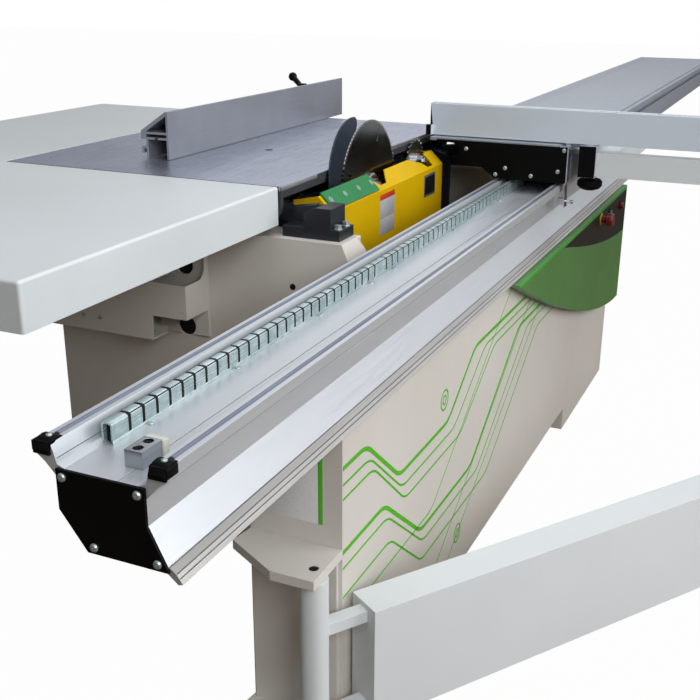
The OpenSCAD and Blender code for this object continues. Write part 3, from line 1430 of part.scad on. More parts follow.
module arm_outer() {
    color("whitesmoke") along_arm() difference() {
        union() {
            difference() {
                box([neck, -arm_w / 2, arm_z0], [arm_l, arm_w / 2, arm_z1]);
                box([neck + arm_wall, -arm_w / 2 + arm_wall, arm_z0 + arm_wall],
                    [arm_l + 1, arm_w / 2 - arm_wall, arm_z1 - arm_wall]);
            }
            bar_z(console_low + 1, console_z - console_t - 1, 0, 0, arm_pin_d / 2 + 8);
            for (z = [arm_z0 + 10, arm_z1 - 30]) box([10, -12, z], [neck + 1, 12, z + 20]);
        }
        bar_z(console_low, console_z - console_t, 0, 0, arm_pin_d / 2 + run);
        // a counterbored screw hole in the outer face
        translate([840, arm_w / 2 + 1, arm_z1 - 54]) rotate([90, 0, 0]) cylinder(h = 3, r = 9);
    }
}

module arm_inner() {
    c = arm_wall + gap;
    w = arm_w / 2 - c;
    color("silver") along_arm() union() {
        difference() {
            box([arm_l - 300, -w, arm_z0 + c], [post_r + 40, w, arm_z1 - c]);
            box([arm_l - 301, -w + 4, arm_z0 + c + 4], [post_r + 36, w - 4, arm_z1 - c - 4]);
        }
        bar_z(arm_z1 - c - 1, frame_low - 14, post_r, 0, 25);
        bar_z(frame_low - 15, frame_low - 1.5, post_r, 0, post_pin_r);
    }
}

base_frame();
swing_arm_console();
main_table();
outfeed_extension_table();
side_extension_table();
extension_brackets();
fence_rail();
fence_rail_brackets();
beam();
beam_end_plates();
base_fasteners();
guide_rods();
rail_end_caps();
index_rack();
end_stops();
stop_bumpers();
beam_supports();
control_fairing();
control_panel();
trunnion_brackets();
dust_port();
arm_pin();
emergency_stop();
start_button();
stop_button();
main_switch_knob();
cabinet_door();
door_knob();
tilt_handwheel();
lift_handwheel();
tilt_frame();
guard_cover();
guard_plate();
saw_carriage();
motor();
riving_knife();
drive_belt();
arbor_shaft();
blade();
flange_nut();
scoring_blade();
scoring_arbor();
motor_pulley();
fence_body();
rip_fence();
fence_lever();
carriage();
carriage_end_plates();
carriage_screws();
stop_hook();
roller_cage();
outrigger_frame();
outrigger_rail();
outrigger_knob();
crosscut_fence();
fence_extension();
stop_block();
flip_stop();
arm_outer();
arm_inner();
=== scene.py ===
"""Looks of the sliding table saw: finishes, small pieces, floor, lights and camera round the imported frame."""

from __future__ import annotations

import logging
import math
from dataclasses import dataclass
from enum import Enum
from typing import Callable, Iterable, Sequence

import bpy
from mathutils import Matrix, Vector


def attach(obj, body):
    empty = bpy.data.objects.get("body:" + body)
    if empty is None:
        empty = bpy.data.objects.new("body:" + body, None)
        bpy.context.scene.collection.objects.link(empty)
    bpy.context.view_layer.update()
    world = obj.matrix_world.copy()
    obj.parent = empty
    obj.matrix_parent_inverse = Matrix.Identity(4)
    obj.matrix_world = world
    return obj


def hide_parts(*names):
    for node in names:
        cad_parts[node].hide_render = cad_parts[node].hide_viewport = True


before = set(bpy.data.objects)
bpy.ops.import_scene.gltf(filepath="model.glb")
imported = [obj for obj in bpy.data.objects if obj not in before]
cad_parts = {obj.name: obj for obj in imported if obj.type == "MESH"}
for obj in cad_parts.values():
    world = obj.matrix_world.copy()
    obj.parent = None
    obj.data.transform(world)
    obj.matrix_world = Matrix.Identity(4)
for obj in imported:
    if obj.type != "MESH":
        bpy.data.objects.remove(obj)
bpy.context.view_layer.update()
LOG = logging.getLogger("sliding_table_saw")
MM = 0.001
Millimetres = Sequence[float]


class Grain(Enum):
    """The way in which a finish's fine lines run, as the stretch of its noise along X, Y and Z."""

    EVEN = (1.0, 1.0, 1.0)
    ALONG_X = (0.012, 1.0, 1.0)
    ALONG_Y = (1.0, 0.012, 1.0)


class Body(str, Enum):
    """The CAD bodies that new pieces ride on."""

    BASE = "base"
    TILT = "tilt_unit"
    LIFT = "lift_unit"
    ARBOR = "arbor"
    SCORING = "scoring"
    DOOR = "door"
    CROSSCUT = "crosscut"
    TILT_WHEEL = "tilt_wheel"
    LIFT_WHEEL = "lift_wheel"


def srgb(code: str) -> tuple[float, float, float, float]:
    """Turns an sRGB hex value to the linear colour that the shaders read.

    Args:
        code: six hex digits with a leading hash.

    Returns:
        The linear red, green, blue and alpha.
    """
    parts = [int(code[i:i + 2], 16) / 255 for i in (1, 3, 5)]
    linear = [p / 12.92 if p <= 0.04045 else ((p + 0.055) / 1.055) ** 2.4 for p in parts]
    return (linear[0], linear[1], linear[2], 1.0)


def add_node(tree: bpy.types.NodeTree, kind: str, settings: dict | None = None,
             links: dict | None = None) -> bpy.types.Node:
    """Adds one node to a material with its settings and its incoming links.

    Args:
        tree: the material's node tree.
        kind: the node's type name.
        settings: attribute names, or input names or numbers, each with its value.
        links: input names or numbers, each with the socket that feeds it.

    Returns:
        The new node.
    """
    node = tree.nodes.new(kind)
    for key, value in (settings or {}).items():
        if isinstance(key, str) and hasattr(node, key):
            setattr(node, key, value)
        else:
            node.inputs[key].default_value = value
    for key, socket in (links or {}).items():
        tree.links.new(socket, node.inputs[key])
    return node


@dataclass(frozen=True)
class Finish:
    """One finish: a base colour with slow mottle, fine lines or grit, and softened edges, paler with a painted
    highlight and partly worn.

    Sizes are in millimetres, colours are sRGB hex values.
    """

    name: str
    colour: str
    shade: str
    roughness: float
    metallic: float = 0.0
    mottle_mm: float = 180.0
    grain: Grain = Grain.EVEN
    grain_mm: float = 1.5
    grain_depth_mm: float = 0.02
    grain_tint: float = 0.0
    rough_spread: float = 0.08
    edge_mm: float = 0.8
    # The edge colour: mostly a painted highlight on the softened edges, partly worn edges; empty for none.
    edge: str = ""
    coat: float = 0.0
    specular: float = 0.5

    @property
    def label(self) -> str:
        """The material's name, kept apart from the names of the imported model's own materials."""
        return f"{self.name}_finish"

    def make(self) -> bpy.types.Material:
        """Builds the node material once.

        Returns:
            The material.
        """
        known = bpy.data.materials.get(self.label)
        if known is not None:
            return known
        material = bpy.data.materials.new(self.label)
        material.use_nodes = True
        tree = material.node_tree
        tree.nodes.clear()
        place = add_node(tree, "ShaderNodeTexCoord").outputs["Object"]
        stretched = add_node(tree, "ShaderNodeMapping", {"Scale": self.grain.value}, {"Vector": place})
        slow = add_node(tree, "ShaderNodeTexNoise", {"Scale": 1000 / self.mottle_mm, "Detail": 5.0,
                                                     "Roughness": 0.6}, {"Vector": place})
        fine = add_node(tree, "ShaderNodeTexNoise", {"Scale": 1000 / self.grain_mm, "Detail": 2.0,
                                                     "Roughness": 0.55}, {"Vector": stretched.outputs[0]})
        spread = add_node(tree, "ShaderNodeMapRange", {"From Min": 0.3, "From Max": 0.7},
                          {"Value": slow.outputs[0]})
        tone = add_node(tree, "ShaderNodeMix", {"data_type": "RGBA", 6: srgb(self.colour),
                                                7: srgb(self.shade)}, {0: spread.outputs[0]})
        colour = tone.outputs[2]
        if self.grain_tint:
            lines = add_node(tree, "ShaderNodeMapRange", {
                "From Min": 0.35, "From Max": 0.65, "To Min": 0.0, "To Max": self.grain_tint},
                {"Value": fine.outputs[0]})
            colour = add_node(tree, "ShaderNodeMix", {"data_type": "RGBA", 7: srgb(self.shade)},
                              {0: lines.outputs[0], 6: colour}).outputs[2]
        rounded = add_node(tree, "ShaderNodeBevel", {"samples": 4, "Radius": self.edge_mm * MM})
        # Painted highlight, partly worn edges: the edge colour along the softened edges.
        if self.edge:
            colour = self.highlight_and_wear_edges(tree, rounded, colour)
        rough = add_node(tree, "ShaderNodeMapRange", {
            "From Min": 0.3, "From Max": 0.7, "To Min": max(0.03, self.roughness - self.rough_spread),
            "To Max": min(1.0, self.roughness + self.rough_spread)}, {"Value": fine.outputs[0]})
        relief = add_node(tree, "ShaderNodeBump", {"Strength": 1.0, "Distance": self.grain_depth_mm * MM},
                          {"Height": fine.outputs[0], "Normal": rounded.outputs[0]})
        shader = add_node(tree, "ShaderNodeBsdfPrincipled", {
            "Metallic": self.metallic, "Coat Weight": self.coat, "Coat Roughness": 0.12,
            "Specular IOR Level": self.specular},
            {"Base Color": colour, "Roughness": rough.outputs[0], "Normal": relief.outputs[0]})
        add_node(tree, "ShaderNodeOutputMaterial", None, {"Surface": shader.outputs[0]})
        return material

    def highlight_and_wear_edges(self, tree: bpy.types.NodeTree, rounded: bpy.types.Node,
             colour: bpy.types.NodeSocket) -> bpy.types.NodeSocket:
        """Mixes the edge colour in where the rounded normal leaves the flat one: mostly a painted highlight,
        partly worn edges.

        Args:
            tree: the material's node tree.
            rounded: the bevel node.
            colour: the colour so far.

        Returns:
            The colour with its edges.
        """
        flat = add_node(tree, "ShaderNodeNewGeometry").outputs["True Normal"]
        turn = add_node(tree, "ShaderNodeVectorMath", {"operation": "DOT_PRODUCT"},
                        {0: rounded.outputs[0], 1: flat})
        mask = add_node(tree, "ShaderNodeMapRange", {"From Min": 0.995, "From Max": 0.93},
                        {"Value": turn.outputs["Value"]})
        return add_node(tree, "ShaderNodeMix", {"data_type": "RGBA", 7: srgb(self.edge)},
                        {0: mask.outputs[0], 6: colour}).outputs[2]


@dataclass(frozen=True)
class TurnedFinish(Finish):
    """A finish with the rings of a tool that turned round an axis along X, through a centre in Y and Z."""

    centre: tuple[float, float] = (0.0, 0.0)
    ring_mm: float = 1.6

    def make(self) -> bpy.types.Material:
        """Builds the plain finish once and adds the rings to it.

        Returns:
            The material.
        """
        if bpy.data.materials.get(self.label) is not None:
            return bpy.data.materials[self.label]
        material = super().make()
        tree = material.node_tree
        place = add_node(tree, "ShaderNodeTexCoord").outputs["Object"]
        centred = add_node(tree, "ShaderNodeMapping", {
            "Location": (0.0, -self.centre[0] * MM, -self.centre[1] * MM), "Scale": (0.0, 1.0, 1.0)},
            {"Vector": place})
        rings = add_node(tree, "ShaderNodeTexWave", {
            "wave_type": "RINGS", "rings_direction": "SPHERICAL", "Scale": 1000 / self.ring_mm / 20,
            "Distortion": 1.5, "Detail": 2.0}, {"Vector": centred.outputs[0]})
        shader = next(n for n in tree.nodes if n.type == "BSDF_PRINCIPLED")
        old = shader.inputs["Base Color"].links[0].from_socket
        strength = add_node(tree, "ShaderNodeMapRange", {"To Max": 0.35}, {"Value": rings.outputs["Fac"]})
        mixed = add_node(tree, "ShaderNodeMix", {"data_type": "RGBA", 7: srgb(self.shade)},
                         {0: strength.outputs[0], 6: old})
        tree.links.new(mixed.outputs[2], shader.inputs["Base Color"])
        return material


# Satin powder coat: a fine orange peel, hardly any colour change, edges paler with a painted highlight.
WHITE_POWDER_COAT = Finish(
    "white_powder_coat", "#d6dadb", "#d0d4d5", 0.42, mottle_mm=400, grain_mm=2.2, grain_depth_mm=0.03,
    edge_mm=1.4, edge="#e0e3e4")
BASE_POWDER_COAT = Finish(
    "warm_grey_powder_coat", "#d6d1ca", "#cdc7bf", 0.4, mottle_mm=500, grain_mm=2.2, grain_depth_mm=0.03,
    edge_mm=1.4, edge="#d8d6d2")
# Ground grey cast iron: dark, with the grinder's long marks and a low gloss.
GROUND_IRON = Finish(
    "ground_cast_iron", "#bcc0d1", "#adb1c1", 0.3, metallic=0.85, mottle_mm=110, grain=Grain.ALONG_Y,
    grain_mm=2.0, grain_depth_mm=0.006, grain_tint=0.2, edge_mm=1.0, edge="#b9bcc0")
# The same iron where the cutter has just broken the edge: bright and smooth.
MILLED_EDGE = Finish(
    "milled_iron_edge", "#b4b6b8", "#a2a5a8", 0.3, metallic=0.8, mottle_mm=60, grain=Grain.ALONG_Y,
    grain_mm=1.6, grain_depth_mm=0.004, edge_mm=0.3)
# The casting's skin below the ground top, under a thin dark primer.
IRON_SKIN = Finish(
    "primed_iron_casting", "#2b2d30", "#35373a", 0.55, mottle_mm=35, grain_mm=3.0, grain_depth_mm=0.12,
    edge_mm=2.0, edge="#4b4d50", specular=0.3)
# Clear anodised extrusion: satin, with fine die lines along its length.
ANODISED_ALONG_Y = Finish(
    "anodised_aluminium_along_y", "#d0d2d5", "#c3c6ca", 0.4, metallic=0.55, mottle_mm=900,
    grain=Grain.ALONG_Y, grain_mm=1.6, grain_depth_mm=0.006, grain_tint=0.14, edge_mm=0.7, edge="#dddfe1")
ANODISED_ALONG_X = Finish(
    "anodised_aluminium_along_x", "#ccced1", "#bfc2c6", 0.4, metallic=0.55, mottle_mm=900,
    grain=Grain.ALONG_X, grain_mm=1.6, grain_depth_mm=0.006, grain_tint=0.14, edge_mm=0.7, edge="#dbdddf")
# The crosscut fence: the same extrusion, in a lighter, bluer copy that paints the light on it and the sky's
# reflection.
LIT_CROSSCUT_ANODISED = Finish(
    "lit_anodised_fence", "#dfe7ef", "#d3dce5", 0.4, metallic=0.45, mottle_mm=900, grain=Grain.ALONG_X,
    grain_mm=1.6, grain_depth_mm=0.006, grain_tint=0.1, edge_mm=0.7, edge="#e6ecf1")
# Hard anodised plank of the sliding table: darker than the rails.
TABLE_ANODISED = Finish(
    "dark_anodised_table", "#a9aeb6", "#9fa4ad", 0.42, metallic=0.5, mottle_mm=900, grain=Grain.ALONG_Y,
    grain_mm=1.6, grain_depth_mm=0.006, grain_tint=0.14, edge_mm=0.7, edge="#c9ccd0")
# Hardened guide bar, ground grey and lightly oiled.
GUIDE_STEEL = Finish(
    "hardened_guide_bar", "#7f8595", "#747a8a", 0.38, metallic=0.7, mottle_mm=160, grain=Grain.ALONG_Y,
    grain_mm=1.5, grain_depth_mm=0.004, edge_mm=0.4)
# The rip fence: anodising in a darker grey than the rails.
FENCE_ANODISED = Finish(
    "darker_anodised_fence", "#a2a4ab", "#8f9198", 0.38, metallic=0.6, mottle_mm=260, grain=Grain.ALONG_Y,
    grain_mm=2.0, grain_depth_mm=0.006, grain_tint=0.2, edge_mm=0.7, edge="#c6c8cc")
# Hardened and ground steel bar: bright, with marks along its length.
GROUND_STEEL = Finish(
    "ground_steel", "#c9ccd1", "#b4b8be", 0.2, metallic=1.0, mottle_mm=120, grain=Grain.ALONG_Y,
    grain_mm=1.5, grain_depth_mm=0.004, edge_mm=0.4)
GROUND_STEEL_ALONG_X = Finish(
    "ground_steel_along_x", "#c9ccd1", "#b4b8be", 0.22, metallic=1.0, mottle_mm=120, grain=Grain.ALONG_X,
    grain_mm=1.5, grain_depth_mm=0.004, edge_mm=0.4)
# Zinc plate with a blue-green passivation, cloudy from part to part.
ZINC_PLATE = Finish(
    "passivated_zinc_plate", "#b4bfbc", "#98a5a2", 0.34, metallic=0.75, mottle_mm=14, grain_mm=1.2,
    grain_depth_mm=0.02, edge_mm=0.5, edge="#d6dfdd")
# The beam's foot strip: the same extrusion, ribbed and rubbed dull.
LIP_ANODISED = Finish(
    "ribbed_anodised_lip", "#c4c1be", "#979592", 0.45, metallic=0.5, mottle_mm=900, grain=Grain.ALONG_Y,
    grain_mm=3.2, grain_depth_mm=0.08, grain_tint=0.5, edge_mm=0.5)
# Painted shade: the dark lines in the grooves of the ribbed strip.
GROOVE_SHADE = Finish(
    "shaded_groove", "#6e6d6c", "#626160", 0.5, metallic=0.3, mottle_mm=300, grain=Grain.ALONG_Y,
    grain_mm=3.0, grain_depth_mm=0.01, edge_mm=0.2)
# The index rack: bright zinc with a blue-green passivation, streaked along the strip.
# Its pale edge colour is a painted highlight on the rounded tooth tops.
RACK_ZINC = Finish(
    "blue_passivated_zinc", "#dde7e8", "#8fa8a8", 0.32, metallic=0.6, mottle_mm=22, grain=Grain.ALONG_Y,
    grain_mm=2.6, grain_depth_mm=0.006, grain_tint=0.75, edge_mm=0.8, edge="#e6efed")
BLACK_OXIDE = Finish(
    "black_oxide_steel", "#0c0d0f", "#121316", 0.45, mottle_mm=20, grain_mm=1.0, grain_depth_mm=0.01,
    edge_mm=0.4, specular=0.2)
# Moulded black plastic with a fine spark-eroded grain.
BLACK_PLASTIC = Finish(
    "moulded_black_plastic", "#040404", "#060606", 0.5, mottle_mm=40, grain_mm=0.9, grain_depth_mm=0.03,
    edge_mm=0.8, edge="#141516", specular=0.08)
# Acrylic film over black, smooth and glossy.
PANEL_FILM = Finish(
    "black_acrylic_film", "#0f1010", "#0c0d0d", 0.42, mottle_mm=200, grain_mm=3, grain_depth_mm=0.006,
    edge_mm=0.6, specular=0.3)
# Green wet paint, satin gloss.
# Its paler edge colour is a painted highlight.
GREEN_PAINT = Finish(
    "green_enamel", "#4d8040", "#467639", 0.36, mottle_mm=200, grain_mm=2.2, grain_depth_mm=0.02,
    edge_mm=1.2, edge="#5f9a50", coat=0.1)
# Painted highlight on the fairing's rounded rim: a lighter, brighter green than the enamel.
RIM_HIGHLIGHT_GREEN = Finish(
    "green_rim_highlight", "#3f9e35", "#39922f", 0.36, mottle_mm=200, grain_mm=2.2, grain_depth_mm=0.015,
    edge_mm=0.6, coat=0.2)
PLATE_GREEN = Finish(
    "dark_green_enamel", "#087a3c", "#066e34", 0.4, mottle_mm=60, grain_mm=2.0, grain_depth_mm=0.02,
    edge_mm=0.7, edge="#2f9a75")
YELLOW_PAINT = Finish(
    "yellow_enamel", "#d9ae00", "#cfa600", 0.45, mottle_mm=150, grain_mm=2.2, grain_depth_mm=0.03,
    edge_mm=1.2, edge="#e8bf22", specular=0.15)
RED_PLASTIC = Finish(
    "moulded_red_plastic", "#7a0c0f", "#700a0d", 0.3, mottle_mm=30, grain_mm=1.0, grain_depth_mm=0.01,
    edge_mm=0.8, coat=0.4)
YELLOW_PLASTIC = Finish(
    "moulded_yellow_plastic", "#b3922a", "#a88823", 0.5, mottle_mm=30, grain_mm=1.0, grain_depth_mm=0.01,
    edge_mm=0.6)
GREEN_PLASTIC = Finish(
    "moulded_green_plastic", "#1d7a35", "#186e2e", 0.3, mottle_mm=30, grain_mm=1.0, grain_depth_mm=0.01,
    edge_mm=0.6)
# Cast parts under dark enamel: the sand casting's skin shows through.
DARK_CASTING = Finish(
    "dark_enamelled_casting", "#14181f", "#1a1f27", 0.4, mottle_mm=30, grain_mm=3.5, grain_depth_mm=0.12,
    edge_mm=1.6, edge="#343a44")
MOTOR_ENAMEL = Finish(
    "blue_grey_enamel", "#3c4c5e", "#35444f", 0.4, mottle_mm=60, grain_mm=3.0, grain_depth_mm=0.08,
    edge_mm=1.2, edge="#56677a")
DARK_GREY_PAINT = Finish(
    "dark_grey_enamel", "#55585b", "#4b4e51", 0.42, mottle_mm=120, grain_mm=2.2, grain_depth_mm=0.03,
    edge_mm=1.2, edge="#6b6e71")
RUBBER = Finish(
    "belt_rubber", "#17181a", "#1d1e20", 0.75, mottle_mm=20, grain_mm=1.0, grain_depth_mm=0.05, edge_mm=0.5)
NYLON = Finish(
    "natural_nylon", "#d8d5c8", "#cfcbbc", 0.45, mottle_mm=25, grain_mm=1.0, grain_depth_mm=0.02,
    edge_mm=0.8)
WHITE_FILM = Finish(
    "white_vinyl_film", "#e4e5e4", "#dddedd", 0.3, mottle_mm=60, grain_mm=3.0, grain_depth_mm=0.005,
    edge_mm=0.2)
LINE_GREEN = Finish(
    "green_vinyl_film", "#57b81f", "#4fae1a", 0.32, mottle_mm=120, grain_mm=3.0, grain_depth_mm=0.005,
    edge_mm=0.2)
LINE_BLUE = Finish(
    "dark_blue_line", "#4a556d", "#434e66", 0.4, metallic=0.4, mottle_mm=200, grain=Grain.ALONG_Y,
    grain_mm=3.0, grain_depth_mm=0.01, edge_mm=0.2)
# Label stock with nothing printed on it: silver grey, dark grey, and the orange red of a header band.
LABEL_STOCK = Finish(
    "silver_grey_film", "#aeb0b4", "#a2a4a9", 0.4, mottle_mm=30, grain_mm=3.0, grain_depth_mm=0.005,
    edge_mm=0.2)
SCREEN_GREY = Finish(
    "dark_grey_film", "#5d5f61", "#555759", 0.4, mottle_mm=30, grain_mm=3.0, grain_depth_mm=0.005,
    edge_mm=0.2)
BAND_RED = Finish(
    "orange_red_film", "#c8401c", "#bd3a18", 0.35, mottle_mm=60, grain_mm=3.0, grain_depth_mm=0.005,
    edge_mm=0.2)
# Plain spring steel with a dark oxide skin.
KNIFE_STEEL = Finish(
    "blackened_spring_steel", "#232c38", "#2b3542", 0.36, metallic=0.5, mottle_mm=70, grain_mm=1.2,
    grain_depth_mm=0.005, edge_mm=0.5, edge="#8b9097")
CARBIDE = Finish(
    "brazed_carbide", "#b9b6ae", "#a3a099", 0.28, metallic=1.0, mottle_mm=8, grain_mm=0.8,
    grain_depth_mm=0.01, edge_mm=0.2)
ARBOR_CENTRE = (110.0, 804.5)
SCORING_CENTRE = (-190.0, 822.0)
# Saw plate: hardened, tinted brown and turned in fine rings.
BLADE_PLATE = TurnedFinish(
    "tinted_saw_plate", "#6a645d", "#86807a", 0.2, metallic=1.0, mottle_mm=60, grain_mm=1.0,
    grain_depth_mm=0.005, edge_mm=0.3, centre=ARBOR_CENTRE)
SCORING_PLATE = TurnedFinish(
    "bright_saw_plate", "#b4b4b2", "#94938f", 0.28, metallic=1.0, mottle_mm=40, grain_mm=1.0,
    grain_depth_mm=0.005, edge_mm=0.3, centre=SCORING_CENTRE)
TURNED_STEEL = TurnedFinish(
    "turned_steel", "#c2c5c9", "#9b9fa4", 0.24, metallic=1.0, mottle_mm=40, grain_mm=1.0,
    grain_depth_mm=0.005, edge_mm=0.5, centre=ARBOR_CENTRE)

NODE_FINISH: dict[str, Finish] = {
    "base_frame": BASE_POWDER_COAT, "swing_arm_console": BASE_POWDER_COAT, "main_table": GROUND_IRON,
    "outfeed_extension_table": WHITE_POWDER_COAT, "side_extension_table": WHITE_POWDER_COAT,
    "extension_brackets": BASE_POWDER_COAT, "fence_rail": GROUND_STEEL_ALONG_X,
    "fence_rail_brackets": DARK_CASTING, "beam": ANODISED_ALONG_Y, "beam_end_plates": BLACK_PLASTIC,
    "base_fasteners": ZINC_PLATE, "guide_rods": GUIDE_STEEL, "rail_end_caps": BLACK_PLASTIC,
    "index_rack": ZINC_PLATE, "end_stops": GROUND_STEEL, "stop_bumpers": NYLON,
    "beam_supports": DARK_CASTING, "control_fairing": GREEN_PAINT, "control_panel": PANEL_FILM,
    "trunnion_brackets": DARK_CASTING, "dust_port": DARK_GREY_PAINT, "arm_pin": GROUND_STEEL,
    "emergency_stop": RED_PLASTIC, "start_button": GREEN_PLASTIC, "stop_button": RED_PLASTIC,
    "main_switch_knob": RED_PLASTIC, "cabinet_door": BASE_POWDER_COAT, "door_knob": BLACK_PLASTIC,
    "tilt_handwheel": BLACK_PLASTIC, "lift_handwheel": BLACK_PLASTIC, "tilt_frame": DARK_CASTING,
    "guard_cover": YELLOW_PAINT, "guard_plate": PLATE_GREEN, "saw_carriage": DARK_CASTING,
    "motor": MOTOR_ENAMEL, "riving_knife": KNIFE_STEEL, "drive_belt": RUBBER, "arbor_shaft": TURNED_STEEL,
    "blade": BLADE_PLATE, "flange_nut": TURNED_STEEL, "scoring_blade": SCORING_PLATE,
    "scoring_arbor": GROUND_STEEL_ALONG_X, "motor_pulley": DARK_CASTING, "fence_body": DARK_CASTING,
    "rip_fence": FENCE_ANODISED, "fence_lever": BLACK_PLASTIC, "carriage": TABLE_ANODISED,
    "carriage_end_plates": BLACK_PLASTIC, "carriage_screws": ZINC_PLATE, "stop_hook": GROUND_STEEL,
    "roller_cage": BLACK_PLASTIC, "outrigger_frame": WHITE_POWDER_COAT, "outrigger_rail": ANODISED_ALONG_Y,
    "outrigger_knob": BLACK_PLASTIC, "crosscut_fence": LIT_CROSSCUT_ANODISED,
    "fence_extension": LIT_CROSSCUT_ANODISED, "stop_block": DARK_CASTING, "flip_stop": BLACK_PLASTIC,
    "arm_outer": WHITE_POWDER_COAT, "arm_inner": ANODISED_ALONG_X}


class Bench:
    """The maker's bench: primitives added at their size and place, and shaped with edit operators."""

    @staticmethod
    def clear() -> None:
        """Leaves edit mode and deselects everything."""
        if bpy.context.object is not None and bpy.context.object.mode != "OBJECT":
            bpy.ops.object.mode_set(mode="OBJECT")
        bpy.ops.object.select_all(action="DESELECT")

    @staticmethod
    def settle(name: str, smooth: float = 30.0) -> bpy.types.Object:
        """Names the active piece, applies its place and turns its normals outwards.

        Args:
            name: the piece's name.
            smooth: the angle in degrees below which its edges shade smooth.

        Returns:
            The finished object, at the origin.
        """
        piece = bpy.context.object
        if piece.mode != "EDIT":
            bpy.ops.object.mode_set(mode="EDIT")
        bpy.ops.mesh.select_all(action="SELECT")
        bpy.ops.mesh.normals_make_consistent(inside=False)
        bpy.ops.object.mode_set(mode="OBJECT")
        bpy.ops.object.transform_apply(location=True, rotation=True, scale=True)
        bpy.ops.object.shade_smooth_by_angle(angle=math.radians(smooth))
        piece.name = name
        piece.data.name = name
        Bench.clear()
        return piece

    @staticmethod
    def block(name: str, low: Millimetres, high: Millimetres, bevel: float = 0.5) -> bpy.types.Object:
        """A rectangular piece with broken edges.

        Args:
            name: the piece's name.
            low: its low corner in millimetres.
            high: its high corner in millimetres.
            bevel: the width of its broken edges in millimetres.

        Returns:
            The piece.
        """
        Bench.clear()
        centre = [(a + b) / 2 * MM for a, b in zip(low, high)]
        size = [(b - a) * MM for a, b in zip(low, high)]
        bpy.ops.mesh.primitive_cube_add(size=1.0, location=centre)
        bpy.context.object.scale = size
        bpy.ops.object.transform_apply(location=False, rotation=False, scale=True)
        bpy.ops.object.mode_set(mode="EDIT")
        bpy.ops.mesh.select_all(action="SELECT")
        bpy.ops.mesh.bevel(offset=bevel * MM, segments=2, affect="EDGES")
        return Bench.settle(name)

    @staticmethod
    def outline(name: str, points: Sequence[Millimetres], draw: Millimetres, bevel: float = 0.0,
                smooth: float = 30.0) -> bpy.types.Object:
        """A flat outline, drawn point by point from one corner and pulled out to a solid.

        Args:
            name: the piece's name.
            points: the corners in millimetres, in order.
            draw: the vector of the pull in millimetres.
            bevel: the width of the broken edges, 0 for none.
            smooth: the angle in degrees below which its edges shade smooth.

        Returns:
            The piece.
        """
        Bench.path(points)
        bpy.ops.mesh.select_all(action="SELECT")
        bpy.ops.mesh.edge_face_add()
        bpy.ops.mesh.extrude_region_move(TRANSFORM_OT_translate={"value": [v * MM for v in draw]})
        if bevel:
            bpy.ops.mesh.select_all(action="SELECT")
            bpy.ops.mesh.bevel(offset=bevel * MM, segments=2, affect="EDGES")
        return Bench.settle(name, smooth)

    @staticmethod
    def path(points: Sequence[Millimetres]) -> None:
        """Starts a piece as a line of points, left in edit mode: a plane, merged to a corner, is drawn on.

        Args:
            points: the points in millimetres, in order.
        """
        Bench.clear()
        bpy.ops.mesh.primitive_plane_add(size=0.001, location=[v * MM for v in points[0]])
        bpy.ops.object.mode_set(mode="EDIT")
        bpy.ops.mesh.select_all(action="SELECT")
        bpy.ops.mesh.merge(type="CENTER")
        for before, after in zip(points, points[1:]):
            step = [(b - a) * MM for a, b in zip(before, after)]
            bpy.ops.mesh.extrude_vertices_move(TRANSFORM_OT_translate={"value": step})

    @staticmethod
    def turned(name: str, profile: Sequence[tuple[float, float]], base: Millimetres, axis: Millimetres,
               steps: int = 32, smooth: float = 35.0) -> bpy.types.Object:
        """A piece turned on a lathe: an open profile from pole to pole, spun round its axis.

        Args:
            name: the piece's name.
            profile: pairs of radius and height above the base, in millimetres.
            base: the foot of the axis in millimetres.
            axis: the way in which the heights grow.
            steps: the faces round the piece.
            smooth: the angle in degrees below which its edges shade smooth.

        Returns:
            The piece.
        """
        lift = Vector(axis).normalized()
        side = lift.orthogonal().normalized()
        points = [Vector(base) + side * r + lift * h for r, h in profile]
        Bench.path([tuple(p) for p in points])
        bpy.ops.mesh.select_all(action="SELECT")
        bpy.ops.mesh.spin(steps=steps, angle=math.tau, center=[v * MM for v in base], axis=lift)
        bpy.ops.mesh.select_all(action="SELECT")
        bpy.ops.mesh.remove_doubles(threshold=0.00002)
        return Bench.settle(name, smooth)

    @staticmethod
    def twin(piece: bpy.types.Object, name: str, matrix: Matrix) -> bpy.types.Object:
        """Copies a piece with a mesh of its own and places the copy.

        Args:
            piece: the piece to copy.
            name: the copy's name.
            matrix: the move or turn that takes it to its place, in metres.

        Returns:
            The copy.
        """
        copy = piece.copy()
        copy.data = piece.data.copy()
        copy.name = copy.data.name = name
        bpy.context.scene.collection.objects.link(copy)
        copy.data.transform(matrix)
        return copy

    @staticmethod
    def join(pieces: Sequence[bpy.types.Object], name: str) -> bpy.types.Object:
        """Joins like pieces of one body to one object and names it.

        Args:
            pieces: the pieces to join.
            name: the joined object's name.

        Returns:
            The joined object.
        """
        Bench.clear()
        for piece in pieces:
            piece.select_set(True)
        bpy.context.view_layer.objects.active = pieces[0]
        if len(pieces) > 1:
            bpy.ops.object.join()
        pieces[0].name = pieces[0].data.name = name
        Bench.clear()
        return pieces[0]


def dress(piece: bpy.types.Object, finish: Finish, body: Body) -> bpy.types.Object:
    """Gives a new piece its finish and its body, and reports it.

    Args:
        piece: the piece, in place.
        finish: its finish.
        body: the CAD body that it rides on.

    Returns:
        The piece.
    """
    piece.data.materials.clear()
    piece.data.materials.append(finish.make())
    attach(piece, body.value)
    LOG.info("%s rides on %s", piece.name, body.value)
    return piece


def move(x: float, y: float, z: float) -> Matrix:
    """A shift in millimetres as a matrix in metres."""
    return Matrix.Translation((x * MM, y * MM, z * MM))


